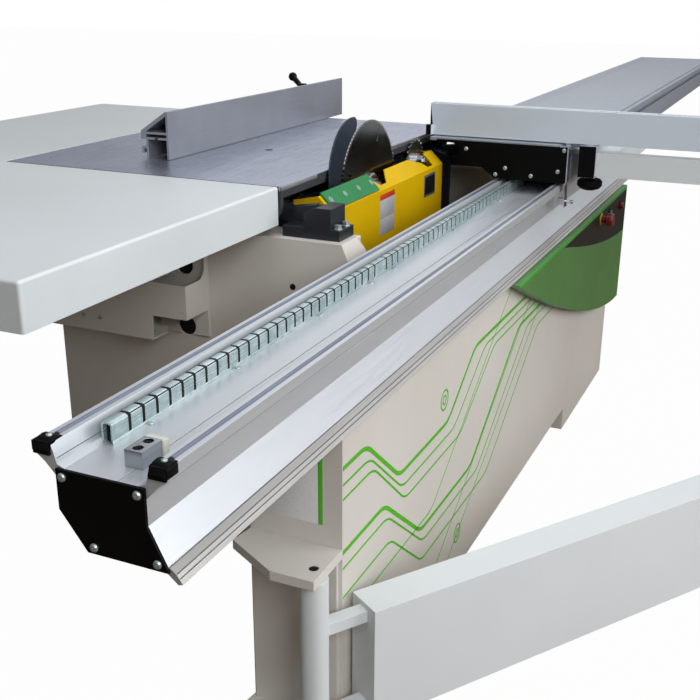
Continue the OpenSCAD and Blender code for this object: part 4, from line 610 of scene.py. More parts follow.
def hex_screw(name: str, place: Millimetres, axis: Millimetres, radius: float,
              height: float) -> bpy.types.Object:
    """A hexagon head on a washer, at its seat.

    Args:
        name: the piece's name.
        place: the seat's centre in millimetres.
        axis: the way in which the head stands.
        radius: the head's radius over its corners.
        height: the head's height.

    Returns:
        The joined head and washer.
    """
    under = [(0, 0), (radius * 1.25, 0), (radius * 1.3, height * 0.1), (radius * 1.25, height * 0.22),
             (0, height * 0.22)]
    over = [(0, height * 0.2), (radius, height * 0.2), (radius, height * 0.82), (radius * 0.86, height),
            (0, height)]
    washer = Bench.turned(name + "_washer", under, place, axis, 24)
    head = Bench.turned(name + "_head", over, place, axis, 6, 20)
    return Bench.join([washer, head], name)


def socket_screw(name: str, place: Millimetres, axis: Millimetres, radius: float,
                 height: float) -> bpy.types.Object:
    """A round head with a hexagon socket sunk in it, at its seat.

    Args:
        name: the piece's name.
        place: the seat's centre in millimetres.
        axis: the way in which the head stands.
        radius: the head's radius.
        height: the head's height.

    Returns:
        The screw head.
    """
    return Bench.turned(name, [(0, 0), (radius, 0), (radius, height * 0.7), (radius * 0.82, height),
                               (radius * 0.5, height), (radius * 0.5, height * 0.35), (0, height * 0.3)],
                        place, axis, 24)


def scatter(make: Callable[[str, Millimetres], bpy.types.Object], name: str,
            places: Iterable[Millimetres]) -> bpy.types.Object:
    """Makes a small piece once, copies it to each place and joins the copies.

    Args:
        make: builds the piece from a name and a place.
        name: the joined piece's name.
        places: the places in millimetres.

    Returns:
        The joined piece.
    """
    spots = list(places)
    first = make(name, spots[0])
    rest = [Bench.twin(first, f"{name}_{i}", move(*[b - a for a, b in zip(spots[0], spot)]))
            for i, spot in enumerate(spots[1:], 1)]
    return Bench.join([first, *rest], name)


class Frame:
    """The CAD nodes and the finish that each one gets."""

    def dress(self) -> None:
        """Puts the finish of its real material on every CAD node."""
        for name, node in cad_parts.items():
            node.data.materials.clear()
            node.data.materials.append(NODE_FINISH[name].make())
        LOG.info("%d nodes dressed", len(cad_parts))

    def second_finish(self, name: str, finish: Finish, chosen: Callable[[Vector], bool]) -> None:
        """Gives some faces of a node another finish, such as a black end cap on a bright rail.

        Args:
            name: the node's name.
            finish: the other finish.
            chosen: tells from a face's centre, in metres, whether it takes the other finish.
        """
        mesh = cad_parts[name].data
        mesh.materials.append(finish.make())
        for face in mesh.polygons:
            if chosen(face.center):
                face.material_index = len(mesh.materials) - 1


@dataclass
class PedestalDrawing:
    """A plain drawing of stepped lines with short bends on the pedestal's side, and a bare plate at its end.

    Each line is its width and its corners before they are rounded, as pairs of Y and Z.
    """

    side_x: float = -469.0
    proud: float = 0.35
    bend_r: float = 24.0
    lines: tuple[tuple[float, tuple[tuple[float, float], ...]], ...] = (
        (8.0, ((1049, 573), (960, 573), (815, 455), (560, 455), (400, 560), (-150, 560))),
        (4.0, ((1049, 545), (945, 545), (800, 425), (520, 425), (330, 540), (-150, 540))),
        (4.0, ((1049, 520), (930, 520), (785, 395), (480, 395), (260, 520), (-180, 520))),
        (8.0, ((1049, 427), (880, 427), (700, 285), (400, 285), (60, 500), (-200, 500))),
        (4.0, ((1049, 398), (865, 398), (685, 255), (350, 255), (-20, 480), (-230, 480))),
        (4.0, ((1049, 345), (850, 345), (690, 215), (280, 215), (-120, 450), (-300, 450))),
        (3.0, ((1049, 300), (640, 300), (110, 640))),
        (3.0, ((1049, 120), (660, 120), (-60, 560))),
        (3.0, ((1049, 85), (600, 85), (-160, 520))))
    rings_at: tuple[tuple[float, float], ...] = ((585.0, 510.0), (470.0, 160.0))
    rings_r: tuple[float, ...] = (20.0, 9.0)
    ring_half_w: float = 2.0
    plate_low: tuple[float, float, float] = (-436.0, 1051.0, 470.0)
    plate_size: tuple[float, float] = (100.0, 130.0)
    bar_w: float = 8.0

    def build(self) -> None:
        """Builds the lines, the rings between them and the end plate with its bar."""
        parts = [self.line(f"line_{i}", width, corners) for i, (width, corners) in enumerate(self.lines)]
        rings = [(y, z, r) for y, z in self.rings_at for r in self.rings_r]
        parts += [self.ring(f"ring_{i}", *ring) for i, ring in enumerate(rings)]
        dress(Bench.join(parts, "pedestal_lines"), LINE_GREEN, Body.BASE)
        x, y, z = self.plate_low
        width, height = self.plate_size
        plate = Bench.block("end_wall_plate", self.plate_low, (x + width, y + 0.5, z + height), 0.15)
        dress(plate, WHITE_FILM, Body.BASE)
        bar = Bench.block("end_wall_plate_bar", (x, y + 0.4, z), (x + self.bar_w, y + 0.7, z + height), 0.1)
        dress(bar, LINE_GREEN, Body.BASE)

    def line(self, name: str, width: float, corners: Sequence[tuple[float, float]]) -> bpy.types.Object:
        """One stepped line with rounded bends, as a thin strip on the side.

        Args:
            name: the line's name.
            width: its width in millimetres.
            corners: its corners before they are rounded, as pairs of Y and Z.

        Returns:
            The strip.
        """
        points = self.rounded(corners)
        left, right = [], []
        for i, (y, h) in enumerate(points):
            y0, h0 = points[max(i - 1, 0)]
            y1, h1 = points[min(i + 1, len(points) - 1)]
            length = math.hypot(y1 - y0, h1 - h0)
            ny, nz = -(h1 - h0) / length, (y1 - y0) / length
            left.append((self.side_x, y + ny * width / 2, h + nz * width / 2))
            right.append((self.side_x, y - ny * width / 2, h - nz * width / 2))
        return Bench.outline(name, left + right[::-1], (-self.proud, 0, 0))

    def rounded(self, corners: Sequence[tuple[float, float]], steps: int = 8) -> list[tuple[float, float]]:
        """Rounds each inner corner of a line with a smooth bend.

        Args:
            corners: the line's corners.
            steps: the points on each bend.

        Returns:
            The points of the rounded line.
        """
        out = [corners[0]]
        for a, b, c in zip(corners, corners[1:], corners[2:]):
            va, vc, vb = Vector(a), Vector(c), Vector(b)
            start = vb + (va - vb).normalized() * self.bend_r
            end = vb + (vc - vb).normalized() * self.bend_r
            for i in range(steps + 1):
                t = i / steps
                p = start * (1 - t) ** 2 + vb * 2 * t * (1 - t) + end * t ** 2
                out.append((p.x, p.y))
        out.append(corners[-1])
        return out

    def ring(self, name: str, y: float, z: float, radius: float) -> bpy.types.Object:
        """One thin ring on the side.

        Args:
            name: the ring's name.
            y: its centre along the pedestal.
            z: its centre's height.
            radius: the radius of its middle line.

        Returns:
            The ring.
        """
        inner, outer = radius - self.ring_half_w, radius + self.ring_half_w
        profile = [(inner, 0), (outer, 0), (outer, self.proud), (inner, self.proud), (inner, 0)]
        return Bench.turned(name, profile, (self.side_x, y, z), (-1, 0, 0), 40)


@dataclass
class RackTrim:
    """The index rack in the photograph's pitch: a slotted zinc strip over a dark inside, and screws.

    Its wall is thinner and its slots are wider than the real ones, so that the slots look as dark; dark blocks
    of painted shade fill it below the slots.
    """

    x0: float = -346.0
    x1: float = -330.0
    z0: float = 751.0
    z1: float = 779.0
    end_wall: float = 2.5
    wall: float = 0.8
    foot: float = 4.0
    foot_lap: float = 0.4
    slot: float = 6.2
    tooth_l: float = 22.4
    back_r: float = 4.5
    end_y: tuple[float, float] = (1430.0, -520.0)
    rows: tuple[tuple[float, float, int], ...] = ((1395.0, 28.85, 27), (590.0, 28.4, 39))
    inside_back: tuple[float, float] = (7.0, 3.0)
    clear: float = 0.05
    screws_y: tuple[float, ...] = (1360.0, 1148.0, 882.0, 672.0, 561.0, 215.0, -132.0)
    screw_out: float = 5.5
    screw_profile: tuple[tuple[float, float], ...] = ((0, 0), (4.6, 0), (4.2, 1.6), (2.4, 2.6), (0, 2.9))

    def build(self) -> None:
        """Builds one tooth, copies it along the strip, and adds the feet, the dark blocks of painted shade
        inside and the screws.
        """
        slots = [first - pitch * i for first, pitch, count in self.rows for i in range(count)]
        half = self.slot / 2
        cuts = [self.end_y[0], *(y for s in slots for y in (s + half, s - half)), self.end_y[1]]
        first = self.tooth("tooth", cuts[2], self.tooth_l, self.wall)
        parts = [first]
        for i, (high, low) in enumerate(zip(cuts[::2], cuts[1::2])):
            if abs(high - low - self.tooth_l) > 1.0:
                parts.append(self.tooth(f"tooth_{i}", high, high - low, self.wall if i else self.end_wall))
            elif i != 1:
                parts.append(Bench.twin(first, f"tooth_{i}", move(0, high - cuts[2], 0)))
        for i, x in enumerate((self.x0, self.x1 - self.wall)):
            parts.append(Bench.block(f"rack_foot_{i}", (x, self.end_y[1], self.z0),
                                     (x + self.wall, self.end_y[0], self.z0 + self.foot + self.foot_lap), 0.2))
        rack = dress(Bench.join(parts, "slotted_rack"), RACK_ZINC, Body.BASE)
        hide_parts("index_rack")
        # Painted shade: dark blocks inside the strip, seen through the slots.
        near, far = self.inside_back
        inside = [self.inside(0, self.end_wall, cuts[1], cuts[0] - near),
                  self.inside(1, self.wall, self.end_y[1] + far, cuts[1])]
        dress(Bench.join(inside, "rack_inside"), BLACK_OXIDE, Body.BASE)
        screws = scatter(lambda n, p: Bench.turned(n, self.screw_profile, p, (0, 0, 1), 20), "rack_screws",
                         [(self.x0 - self.screw_out, y, self.z0) for y in self.screws_y])
        dress(screws, ZINC_PLATE, Body.BASE)

    def inside(self, index: int, wall: float, low: float, high: float) -> bpy.types.Object:
        """A dark block of painted shade below one stretch of teeth.

        Args:
            index: the filling's number.
            wall: the thickness of the strip above it.
            low: its far end in Y.
            high: its near end in Y.

        Returns:
            The filling.
        """
        side = wall + self.clear
        return Bench.block(f"rack_inside_{index}", (self.x0 + side, low, self.z0),
                           (self.x1 - side, high, self.z1 - wall - 0.1), 0.3)

    def tooth(self, name: str, y: float, length: float, wall: float) -> bpy.types.Object:
        """One tooth: the strip's section with its rounded back, from Y down to Y less its length.

        Args:
            name: the tooth's name.
            y: its near end.
            length: its length.
            wall: the thickness of the strip.

        Returns:
            The tooth.
        """
        r, bend = self.back_r, []
        for x, turn in ((self.x0 + r, math.pi), (self.x1 - r, math.pi / 2)):
            for i in range(5):
                angle = turn - math.pi / 8 * i
                bend.append((x + r * math.cos(angle), y, self.z1 - r + r * math.sin(angle)))
        low, under = self.z0 + self.foot, self.z1 - wall
        left, right = self.x0 + wall, self.x1 - wall
        points = [(self.x0, y, low), *bend, (self.x1, y, low), (right, y, low), (right, y, under - 1.5),
                  (right - 2.5, y, under), (left + 2.5, y, under), (left, y, under - 1.5), (left, y, low)]
        return Bench.outline(name, points, (0, -length, 0))


@dataclass
class RailCaps:
    """The moulded saddles on the ends of both rails, each with a cheek outside and a screw on its back."""

    beam_x: float = -384.0
    mid_y: float = 4.0
    rail_x: float = 78.0
    half_w: float = 11.5
    back: tuple[tuple[float, float], ...] = (
        (1482.0, 779.2), (1484.0, 781.5), (1490.0, 782.5), (1498.0, 781.5), (1505.0, 777.0),
        (1508.5, 771.0), (1508.0, 765.0), (1504.3, 765.0), (1504.3, 779.2))
    cheek_x: tuple[float, float] = (89.2, 91.6)
    cheek_y: tuple[float, float] = (1486.0, 1507.0)
    cheek_z: tuple[float, float] = (768.0, 780.2)
    screw_at: tuple[float, float] = (1492.0, 782.2)
    screw_profile: tuple[tuple[float, float], ...] = ((0, 0), (4.0, 0), (3.7, 1.4), (2.2, 2.3), (0, 2.5))

    def build(self) -> None:
        """Builds the near pair and turns a copy of it to the far end."""
        parts, screws = [], []
        for i, side in enumerate((1, -1)):
            x = self.beam_x + side * self.rail_x
            saddle = [(x - self.half_w, y, z) for y, z in self.back]
            parts.append(Bench.outline(f"saddle_{i}", saddle, (2 * self.half_w, 0, 0), 0.5))
            edge = sorted(self.beam_x + side * out for out in self.cheek_x)
            low, high = zip(edge, self.cheek_y, self.cheek_z)
            parts.append(Bench.block(f"cheek_{i}", low, high, 0.7))
            screws.append(Bench.turned(f"cap_screw_{i}", self.screw_profile, (x, *self.screw_at), (0, 0, 1),
                                       20))
        caps, heads = Bench.join(parts, "near_caps"), Bench.join(screws, "near_cap_screws")
        centre = Matrix.Translation((self.beam_x * MM, self.mid_y * MM, 0))
        half_turn = centre @ Matrix.Rotation(math.pi, 4, "Z") @ centre.inverted()
        caps = Bench.join([caps, Bench.twin(caps, "far_caps", half_turn)], "rail_saddles")
        dress(caps, BLACK_PLASTIC, Body.BASE)
        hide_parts("rail_end_caps")
        heads = Bench.join([heads, Bench.twin(heads, "far_cap_screws", half_turn)], "cap_screws")
        dress(heads, ZINC_PLATE, Body.BASE)


@dataclass
class HoleShadeAndPlug:
    """Dark discs of painted shade in the bracket's and the wall's holes, as X, Z and radius, and the plug over
    the pin.
    """

    wall_y: float = 552.0
    holes: tuple[tuple[float, float, float], ...] = (
        (127.0, 568.0, 21.7), (127.0, 703.0, 21.7), (-127.0, 684.0, 6.5), (-103.0, 648.0, 6.5))
    plug_foot: tuple[float, float, float] = (-452.0, 1117.0, 426.0)
    plug_profile: tuple[tuple[float, float], ...] = ((0, 0), (7.7, 0), (7.7, 7.0), (6.0, 7.6), (0, 7.6))

    def build(self) -> None:
        """Builds a blind disc of painted shade for each hole, and the plug."""
        discs = [Bench.turned(f"hole_{i}", [(0, 0), (r, 0), (r, 0.4), (0, 0.5)], (x, self.wall_y, z),
                              (0, 1, 0), 36) for i, (x, z, r) in enumerate(self.holes)]
        discs.append(Bench.turned("pin_plug", self.plug_profile, self.plug_foot, (0, 0, 1), 28))
        dress(Bench.join(discs, "hole_shade_and_plug"), BLACK_OXIDE, Body.BASE)


@dataclass
class BeamTrim:
    """The lines along the beam's rails, the painted shade in its lip's grooves, and the screws sunk in the end
    stops.
    """

    x: float = -384.0
    y0: float = -1496.0
    y1: float = 1504.0
    line_at: tuple[tuple[float, float], ...] = ((60.5, 761.0), (-63.5, 761.0))
    line_w: float = 3.0
    line_t: float = 0.25
    groove_at: tuple[tuple[float, float], ...] = ((-84.4, 657.6), (-93.0, 651.0), (-97.0, 646.0))
    groove_half: float = 0.6
    stop_x: float = -405.0
    stop_z: float = 760.0
    stops_y: tuple[float, float] = (1451.0, -1443.0)
    stop_pitch: float = 20.0

    def build(self) -> None:
        """Builds the dark lines, the painted shade in the lip's grooves and the screws of the end stops."""
        lines = [Bench.block(f"rail_line_{i}", (self.x + out, self.y0 + 2, z),
                             (self.x + out + self.line_w, self.y1 - 2, z + self.line_t), 0.05)
                 for i, (out, z) in enumerate(self.line_at)]
        dress(Bench.join(lines, "rail_lines"), LINE_BLUE, Body.BASE)
        # Painted shade: thin dark strips along the lip's grooves.
        half = self.groove_half
        groove_shades = [Bench.block(f"lip_groove_{i}", (self.x + out - half, self.y0 + 1, z - half),
                            (self.x + out + half, self.y1 - 1, z + half), 0.2)
                for i, (out, z) in enumerate(self.groove_at)]
        dress(Bench.join(groove_shades, "painted_groove_shade"), GROOVE_SHADE, Body.BASE)
        places = [(self.stop_x, y + side * self.stop_pitch / 2, self.stop_z)
                  for y in self.stops_y for side in (-1, 1)]
        stops = scatter(lambda n, p: socket_screw(n, p, (0, 0, 1), 4.6, 8.0), "stop_screws", places)
        dress(stops, BLACK_OXIDE, Body.BASE)


@dataclass
class TableTrim:
    """The milled edge of the iron table and the screws of the extension tables' brackets."""

    x0: float = -92.0
    y0: float = -470.0
    y1: float = 530.0
    top: float = 880.0
    edge_h: float = 9.0
    edge_t: float = 0.4
    screws_x: tuple[float, ...] = (290.0, 334.0, 410.0)
    screw_y: float = 640.0
    screw_z: float = 588.0
    bolts_x: tuple[float, ...] = (200.0, 300.0, 400.0)
    bolt_y: float = 558.0
    bolt_z: float = 570.0
    stay_x: float = 474.0
    stays_y: tuple[float, ...] = (-290.0, 380.0)
    stays_z: tuple[float, ...] = (642.0, 742.0)

    def build(self) -> None:
        """Builds the bright edge of the iron table, and the screws and bolts of the brackets."""
        low, high, t = self.top - self.edge_h, self.top - self.edge_t, self.edge_t
        edge = [Bench.block("edge_blade_side", (self.x0 - t, self.y0 + 1, low), (self.x0, self.y1 - 1, high),
                            0.15),
                Bench.block("edge_outfeed", (self.x0 + 1, self.y1, low), (self.x0 + 5, self.y1 + t, high),
                            0.15)]
        dress(Bench.join(edge, "iron_table_edge"), MILLED_EDGE, Body.BASE)
        screws = scatter(lambda n, p: socket_screw(n, p, (0, 1, 0), 4.5, 3.2), "bracket_screws",
                         [(x, self.screw_y, self.screw_z) for x in self.screws_x])
        dress(screws, ZINC_PLATE, Body.BASE)
        bolts = scatter(lambda n, p: hex_screw(n, p, (0, 1, 0), 7.0, 5.0), "bracket_bolts",
                        [(x, self.bolt_y, self.bolt_z) for x in self.bolts_x])
        dress(bolts, ZINC_PLATE, Body.BASE)
        stays = scatter(lambda n, p: hex_screw(n, p, (1, 0, 0), 8.0, 6.0), "stay_bolts",
                        [(self.stay_x, y, z) for y in self.stays_y for z in self.stays_z])
        dress(stays, ZINC_PLATE, Body.BASE)


@dataclass
class GuardTrim:
    """What sits on the yellow guard: flat screws on the green plate, and the bare places of labels."""

    x: float = -150.0
    screw_foot: tuple[float, float] = (-134.4, 832.4)
    screws_y: tuple[float, ...] = (175.0, 246.0, 317.0, 388.0)
    film: float = 0.5
    label_y: tuple[float, float] = (69.0, 158.0)
    label_z: tuple[tuple[float, float], ...] = ((704.0, 742.0), (743.5, 787.0))
    band_z: tuple[float, float] = (787.2, 800.0)
    dark_y: tuple[float, float] = (-211.0, -130.0)
    dark_z: tuple[float, float] = (741.0, 798.0)
    dark_rim: float = 6.0

    def build(self) -> None:
        """Builds the screws and the bare plates."""
        x, z = self.screw_foot
        screws = scatter(lambda n, p: socket_screw(n, p, (-1.0, 0.0, 1.0), 7.0, 1.0), "guard_bolts",
                         [(x, y, z) for y in self.screws_y])
        dress(screws, ZINC_PLATE, Body.TILT)
        label = [self.place(f"guard_label_place_{i}", self.label_y, span)
                 for i, span in enumerate(self.label_z)]
        dress(Bench.join(label, "guard_label_place"), LABEL_STOCK, Body.TILT)
        dress(self.place("guard_label_band", self.label_y, self.band_z), BAND_RED, Body.TILT)
        dress(self.place("guard_dark_place", self.dark_y, self.dark_z), SCREEN_GREY, Body.TILT)
        (y0, y1), (z0, z1), rim = self.dark_y, self.dark_z, self.dark_rim
        field = Bench.block("guard_dark_field", (self.x - 0.8, y0 + rim, z0 + rim),
                            (self.x - 0.3, y1 - rim, z1 - rim), 0.1)
        dress(field, BLACK_OXIDE, Body.TILT)

    def place(self, name: str, span_y: Sequence[float], span_z: Sequence[float]) -> bpy.types.Object:
        """One film on the guard's side between two heights."""
        return Bench.block(name, (self.x - self.film, span_y[0], span_z[0]), (self.x, span_y[1], span_z[1]),
                           0.15)


@dataclass
class BladeTips:
    """Carbide tips brazed on both blades, a little wider and longer than the real ones to be seen."""

    blade_x: float = -100.0
    root: float = 5.0
    rise: float = 0.9

    def build(self) -> None:
        """Builds one tip for each blade and copies it round."""
        self.ring("blade_tips", ARBOR_CENTRE, 157.5, 96, 3.0, 4.2, Body.ARBOR)
        self.ring("scoring_tips", SCORING_CENTRE, 60.0, 24, 0.0, 3.3, Body.SCORING)

    def ring(self, name: str, centre: tuple[float, float], radius: float, count: int, turn: float,
             thick: float, body: Body) -> None:
        """Builds the tips of one blade.

        Args:
            name: the joined tips' name.
            centre: the blade's centre in Y and Z.
            radius: the blade's radius.
            count: the number of teeth.
            turn: the blade's turn in degrees.
            thick: the tip's thickness across the blade.
            body: the body that the tips ride on.
        """
        y, z = centre
        x, low, high = self.blade_x - thick / 2, y + radius - self.root, y + radius + self.rise
        outline = [(x, low, z - 1.4), (x, high, z - 1.2), (x, high, z + 0.6), (x, low, z + 1.1)]
        first = Bench.outline(name, outline, (thick, 0, 0))
        pieces = [first]
        spin = Matrix.Translation((0, y * MM, z * MM))
        for i in range(1, count):
            pieces.append(Bench.twin(first, f"{name}_{i}", spin @ Matrix.Rotation(
                math.tau * i / count, 4, "X") @ spin.inverted()))
        joined = Bench.join(pieces, name)
        joined.data.transform(spin @ Matrix.Rotation(math.radians(turn), 4, "X") @ spin.inverted())
        dress(joined, CARBIDE, body)


@dataclass
class ControlTrim:
    """Collars of the buttons, as Y, Z, radius and finish, and a strip of painted highlight on the fairing's
    rim.
    """

    face_x: float = -498.0
    bore_r: float = 10.5
    collars: tuple[tuple[float, float, float, Finish], ...] = (
        (-689.0, 606.0, 19.0, YELLOW_PLASTIC), (-816.0, 600.0, 14.0, BLACK_PLASTIC),
        (-987.0, 591.0, 14.0, BLACK_PLASTIC))
    rim_y: tuple[float, float] = (-1090.0, 192.0)
    rim_z: tuple[float, float] = (628.0, 638.0)
    rim_t: float = 0.8

    def build(self) -> None:
        """Builds the collars and the strip of painted highlight on the rim."""
        for i, (y, z, radius, finish) in enumerate(self.collars):
            profile = [(self.bore_r, 0), (radius, 0), (radius, 1.6), (radius - 1.5, 3.0), (self.bore_r, 3.0),
                       (self.bore_r, 0)]
            collar = Bench.turned(f"button_collar_{i}", profile, (self.face_x, y, z), (-1, 0, 0))
            dress(collar, finish, Body.BASE)
        # Painted highlight along the fairing's rounded rim.
        rim = Bench.block("fairing_rim_highlight", (self.face_x - self.rim_t, self.rim_y[0], self.rim_z[0]),
                          (self.face_x, self.rim_y[1], self.rim_z[1]), 0.3)
        dress(rim, RIM_HIGHLIGHT_GREEN, Body.BASE)


@dataclass
class HiddenSideTrim:
    """What the other sides have: dials, door screws, terminal box screws, and the crosscut fence's scale."""

    hub_y: float = -564.0
    wheel_z: float = 520.0
    wheels: tuple[tuple[float, Body], ...] = ((-20.0, Body.TILT_WHEEL), (250.0, Body.LIFT_WHEEL))
    dial_r: float = 18.5
    lid_z: float = 737.5
    lid_x: tuple[float, float] = (162.0, 246.0)
    lid_y: tuple[float, float] = (133.0, 207.0)
    hinge_at: tuple[float, float] = (486.0, 318.0)
    hinges_z: tuple[float, float] = (210.0, 510.0)
    hinge_screws: tuple[float, float] = (12.0, 38.0)
    scale_low: tuple[float, float, float] = (-1900.0, -281.5, 963.0)
    scale_high: tuple[float, float, float] = (-130.0, -271.5, 963.4)
    marks: int = 176
    mark_pitch: float = 10.0
    mark_step: int = 5

    def build(self) -> None:
        """Builds each group in turn."""
        for x, body in self.wheels:
            self.dial(x, body)
        self.lid_screws()
        self.door_screws()
        self.scale()

    def dial(self, x: float, body: Body) -> None:
        """A dial with a bright rim and a pointer in a handwheel's hub.

        Args:
            x: the wheel's place across.
            body: the wheel's body.
        """
        base, axis, r = (x, self.hub_y, self.wheel_z), (0, -1, 0), self.dial_r
        rim_profile = [(r, 0), (r + 2, 0), (r + 2, 4), (r + 1, 5), (r, 4), (r, 0)]
        rim = Bench.turned(f"dial_rim_{body.value}", rim_profile, base, axis, 40)
        dress(rim, GROUND_STEEL, body)
        face_profile = [(0, 0), (r - 0.2, 0), (r - 0.2, 3.2), (0, 3.2)]
        face = Bench.turned(f"dial_face_{body.value}", face_profile, base, axis, 40)
        dress(face, WHITE_FILM, body)
        hand = Bench.block(f"dial_hand_{body.value}", (x - 0.8, self.hub_y - 4.0, self.wheel_z - 3.0),
                           (x + 0.8, self.hub_y - 3.2, self.wheel_z + 15.0), 0.1)
        dress(hand, BLACK_PLASTIC, body)

    def lid_screws(self) -> None:
        """Four screws in the lid of the motor's terminal box."""
        screws = scatter(lambda n, p: socket_screw(n, p, (0, 0, 1), 4.0, 3.0), "terminal_box_screws",
                         [(x, y, self.lid_z) for x in self.lid_x for y in self.lid_y])
        dress(screws, ZINC_PLATE, Body.LIFT)

    def door_screws(self) -> None:
        """Two screws by each hinge of the service door."""
        screws = scatter(lambda n, p: socket_screw(n, p, (1, 0, 0), 4.0, 2.6), "door_screws",
                         [(*self.hinge_at, z + up) for z in self.hinges_z for up in self.hinge_screws])
        dress(screws, ZINC_PLATE, Body.DOOR)

    def scale(self) -> None:
        """A pale scale strip on the crosscut fence with a mark at each pitch, every fifth one long."""
        strip = Bench.block("fence_scale", self.scale_low, self.scale_high, 0.1)
        dress(strip, WHITE_FILM, Body.CROSSCUT)
        x, y, z = self.scale_low[0] + 10.0, self.scale_low[1] + 0.5, self.scale_high[2]
        step = self.mark_step
        places = [(x + self.mark_pitch * i, y, z) for i in range(self.marks)]
        short = scatter(lambda n, p: Bench.block(n, p, (p[0] + 0.8, p[1] + 4.0, p[2] + 0.2), 0.05),
                        "scale_marks", [p for i, p in enumerate(places) if i % step])
        tall = scatter(lambda n, p: Bench.block(n, p, (p[0] + 1.0, p[1] + 8.0, p[2] + 0.2), 0.05),
                       "scale_long_marks", places[::step])
        dress(Bench.join([short, tall], "scale_marks"), BLACK_PLASTIC, Body.CROSSCUT)


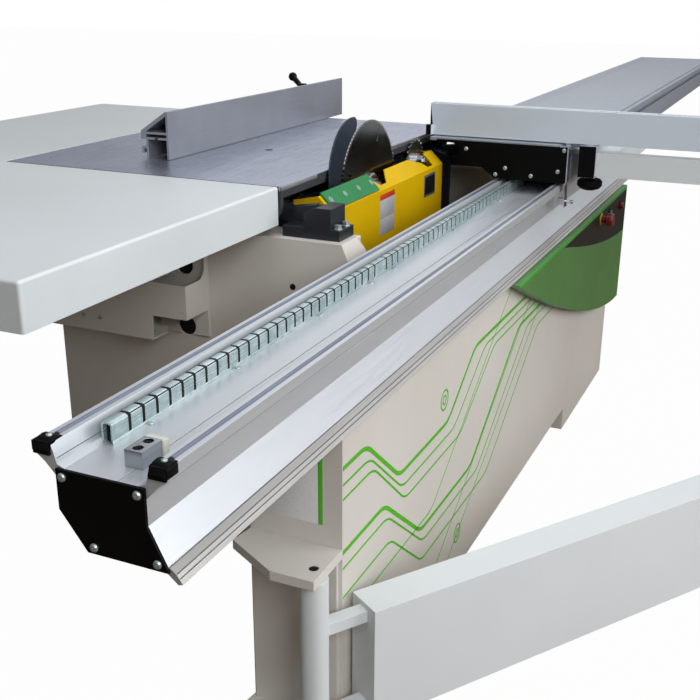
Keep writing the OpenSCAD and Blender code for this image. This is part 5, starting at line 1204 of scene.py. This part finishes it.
@dataclass
class Studio:
    """Pale floor, soft lamps, world light and the camera of the photograph."""

    camera_at: tuple[float, float, float] = (-1.057, 2.321, 1.273)
    right: tuple[float, float, float] = (-0.91002783, -0.41452715, 0.00407354)
    down: tuple[float, float, float] = (-0.14487166, 0.30880488, -0.94002752)
    forward: tuple[float, float, float] = (0.388409, -0.85604134, -0.34107428)
    lens_mm: float = 52.936
    dark_side: tuple[float, float] = (0.2, 0.62)
    gloss: tuple[float, float] = (0.8, 0.35)
    lamps: tuple[tuple[tuple[float, float, float], tuple[float, float, float], float, float], ...] = (
        ((-3.3, 3.3, 3.0), (-0.3, 0.3, 0.6), 2.4, 125.0),
        ((-4.6, -0.8, 2.2), (-0.4, -0.2, 0.4), 3.0, 140.0),
        ((-0.6, 0.8, 4.6), (-0.1, 0.2, 0.8), 3.0, 78.0),
        ((1.5, -4.0, 4.0), (0.0, 0.0, 0.8), 3.5, 30.0))

    def build(self) -> None:
        """Builds the camera, the lamps, the world and the floor."""
        self.camera()
        for i, (place, target, size, watts) in enumerate(self.lamps):
            self.lamp(f"lamp_{i}", place, target, size, watts)
        self.world()
        self.floor()
        bpy.context.scene.view_settings.view_transform = "Standard"

    def camera(self) -> None:
        """Places the camera as the photograph's perspective says."""
        Bench.clear()
        bpy.ops.object.camera_add()
        camera = bpy.context.object
        r, d, f = (Vector(v) for v in (self.right, self.down, self.forward))
        turn = Matrix((r, -d, -f)).transposed()
        camera.matrix_world = Matrix.Translation(self.camera_at) @ turn.to_4x4()
        camera.data.sensor_width = 36.0
        camera.data.lens = self.lens_mm
        camera.data.clip_end = 60.0
        camera.data.dof.use_dof = False
        bpy.context.scene.camera = camera

    def lamp(self, name: str, place: Sequence[float], target: Sequence[float], size: float,
             watts: float) -> None:
        """Adds one soft lamp that looks at a point.

        Args:
            name: the lamp's name.
            place: its place in metres.
            target: the point that it looks at.
            size: the side of its square in metres.
            watts: its power.
        """
        Bench.clear()
        bpy.ops.object.light_add(type="AREA", location=place)
        lamp = bpy.context.object
        lamp.name = name
        lamp.data.size = size
        lamp.data.energy = watts
        lamp.data.color = srgb("#f8fafc")[:3]
        lamp.rotation_euler = (Vector(target) - Vector(place)).to_track_quat("-Z", "Y").to_euler()

    def world(self) -> None:
        """A pale sky for the light, and white where the camera or a reflection sees it."""
        world = bpy.data.worlds.new("studio") if bpy.context.scene.world is None else bpy.context.scene.world
        bpy.context.scene.world = world
        world.use_nodes = True
        tree = world.node_tree
        tree.nodes.clear()
        rays = add_node(tree, "ShaderNodeLightPath")
        light = add_node(tree, "ShaderNodeBackground", {"Color": srgb("#eef1f6"), "Strength": 0.16})
        white = add_node(tree, "ShaderNodeBackground", {"Color": (1, 1, 1, 1), "Strength": 1.0})
        place = add_node(tree, "ShaderNodeTexCoord")
        axes = add_node(tree, "ShaderNodeSeparateXYZ", None, {0: place.outputs["Generated"]})
        side = add_node(tree, "ShaderNodeMapRange", {
            "From Min": self.dark_side[0], "From Max": self.dark_side[1], "To Min": self.gloss[0],
            "To Max": self.gloss[1]}, {0: axes.outputs["X"]})
        glossy = add_node(tree, "ShaderNodeBackground", {"Color": srgb("#e9ecf2")}, {1: side.outputs[0]})
        mixed = add_node(tree, "ShaderNodeMixShader", None, {
            0: rays.outputs["Is Glossy Ray"], 1: light.outputs[0], 2: glossy.outputs[0]})
        seen = add_node(tree, "ShaderNodeMixShader", None, {
            0: rays.outputs["Is Camera Ray"], 1: mixed.outputs[0], 2: white.outputs[0]})
        add_node(tree, "ShaderNodeOutputWorld", None, {"Surface": seen.outputs[0]})

    def floor(self) -> None:
        """A wide pale floor that the camera sees almost white and that keeps the machine's shadow."""
        Bench.clear()
        bpy.ops.mesh.primitive_plane_add(size=40.0, location=(0.0, 0.0, 0.0))
        floor = bpy.context.object
        floor.name = "studio_floor"
        material = bpy.data.materials.new("studio_floor")
        material.use_nodes = True
        tree = material.node_tree
        tree.nodes.clear()
        rays = add_node(tree, "ShaderNodeLightPath")
        matt = add_node(tree, "ShaderNodeBsdfDiffuse", {"Color": srgb("#7f7163")})
        glow = add_node(tree, "ShaderNodeEmission", {"Color": (1, 1, 1, 1), "Strength": 1.0})
        share = add_node(tree, "ShaderNodeMath", {"operation": "MULTIPLY", 1: 0.985},
                         {0: rays.outputs["Is Camera Ray"]})
        mixed = add_node(tree, "ShaderNodeMixShader", None, {0: share.outputs[0], 1: matt.outputs[0],
                                                             2: glow.outputs[0]})
        add_node(tree, "ShaderNodeOutputMaterial", None, {"Surface": mixed.outputs[0]})
        floor.data.materials.append(material)


def main() -> None:
    """Dresses the frame, builds the trim in order and sets the stage."""
    logging.basicConfig(level=logging.INFO)
    dresser = Frame()
    dresser.dress()
    dresser.second_finish("main_table", IRON_SKIN, lambda c: c.z < 0.8795)
    dresser.second_finish("beam", LIP_ANODISED, lambda c: c.x < -0.4665 and c.z < 0.6595)
    dresser.second_finish("outrigger_rail", BLACK_PLASTIC, lambda c: c.y > -0.2669)
    dresser.second_finish("crosscut_fence", BLACK_PLASTIC, lambda c: c.x > -0.1159)
    dresser.second_finish("fence_extension", BLACK_PLASTIC, lambda c: c.x < -1.9179)
    for group in (PedestalDrawing(), RackTrim(), RailCaps(), HoleShadeAndPlug(), BeamTrim(), TableTrim(), GuardTrim(),
                  BladeTips(), ControlTrim(), HiddenSideTrim(), Studio()):
        group.build()
        LOG.info("%s built", type(group).__name__)


if __name__ == "__main__":
    main()
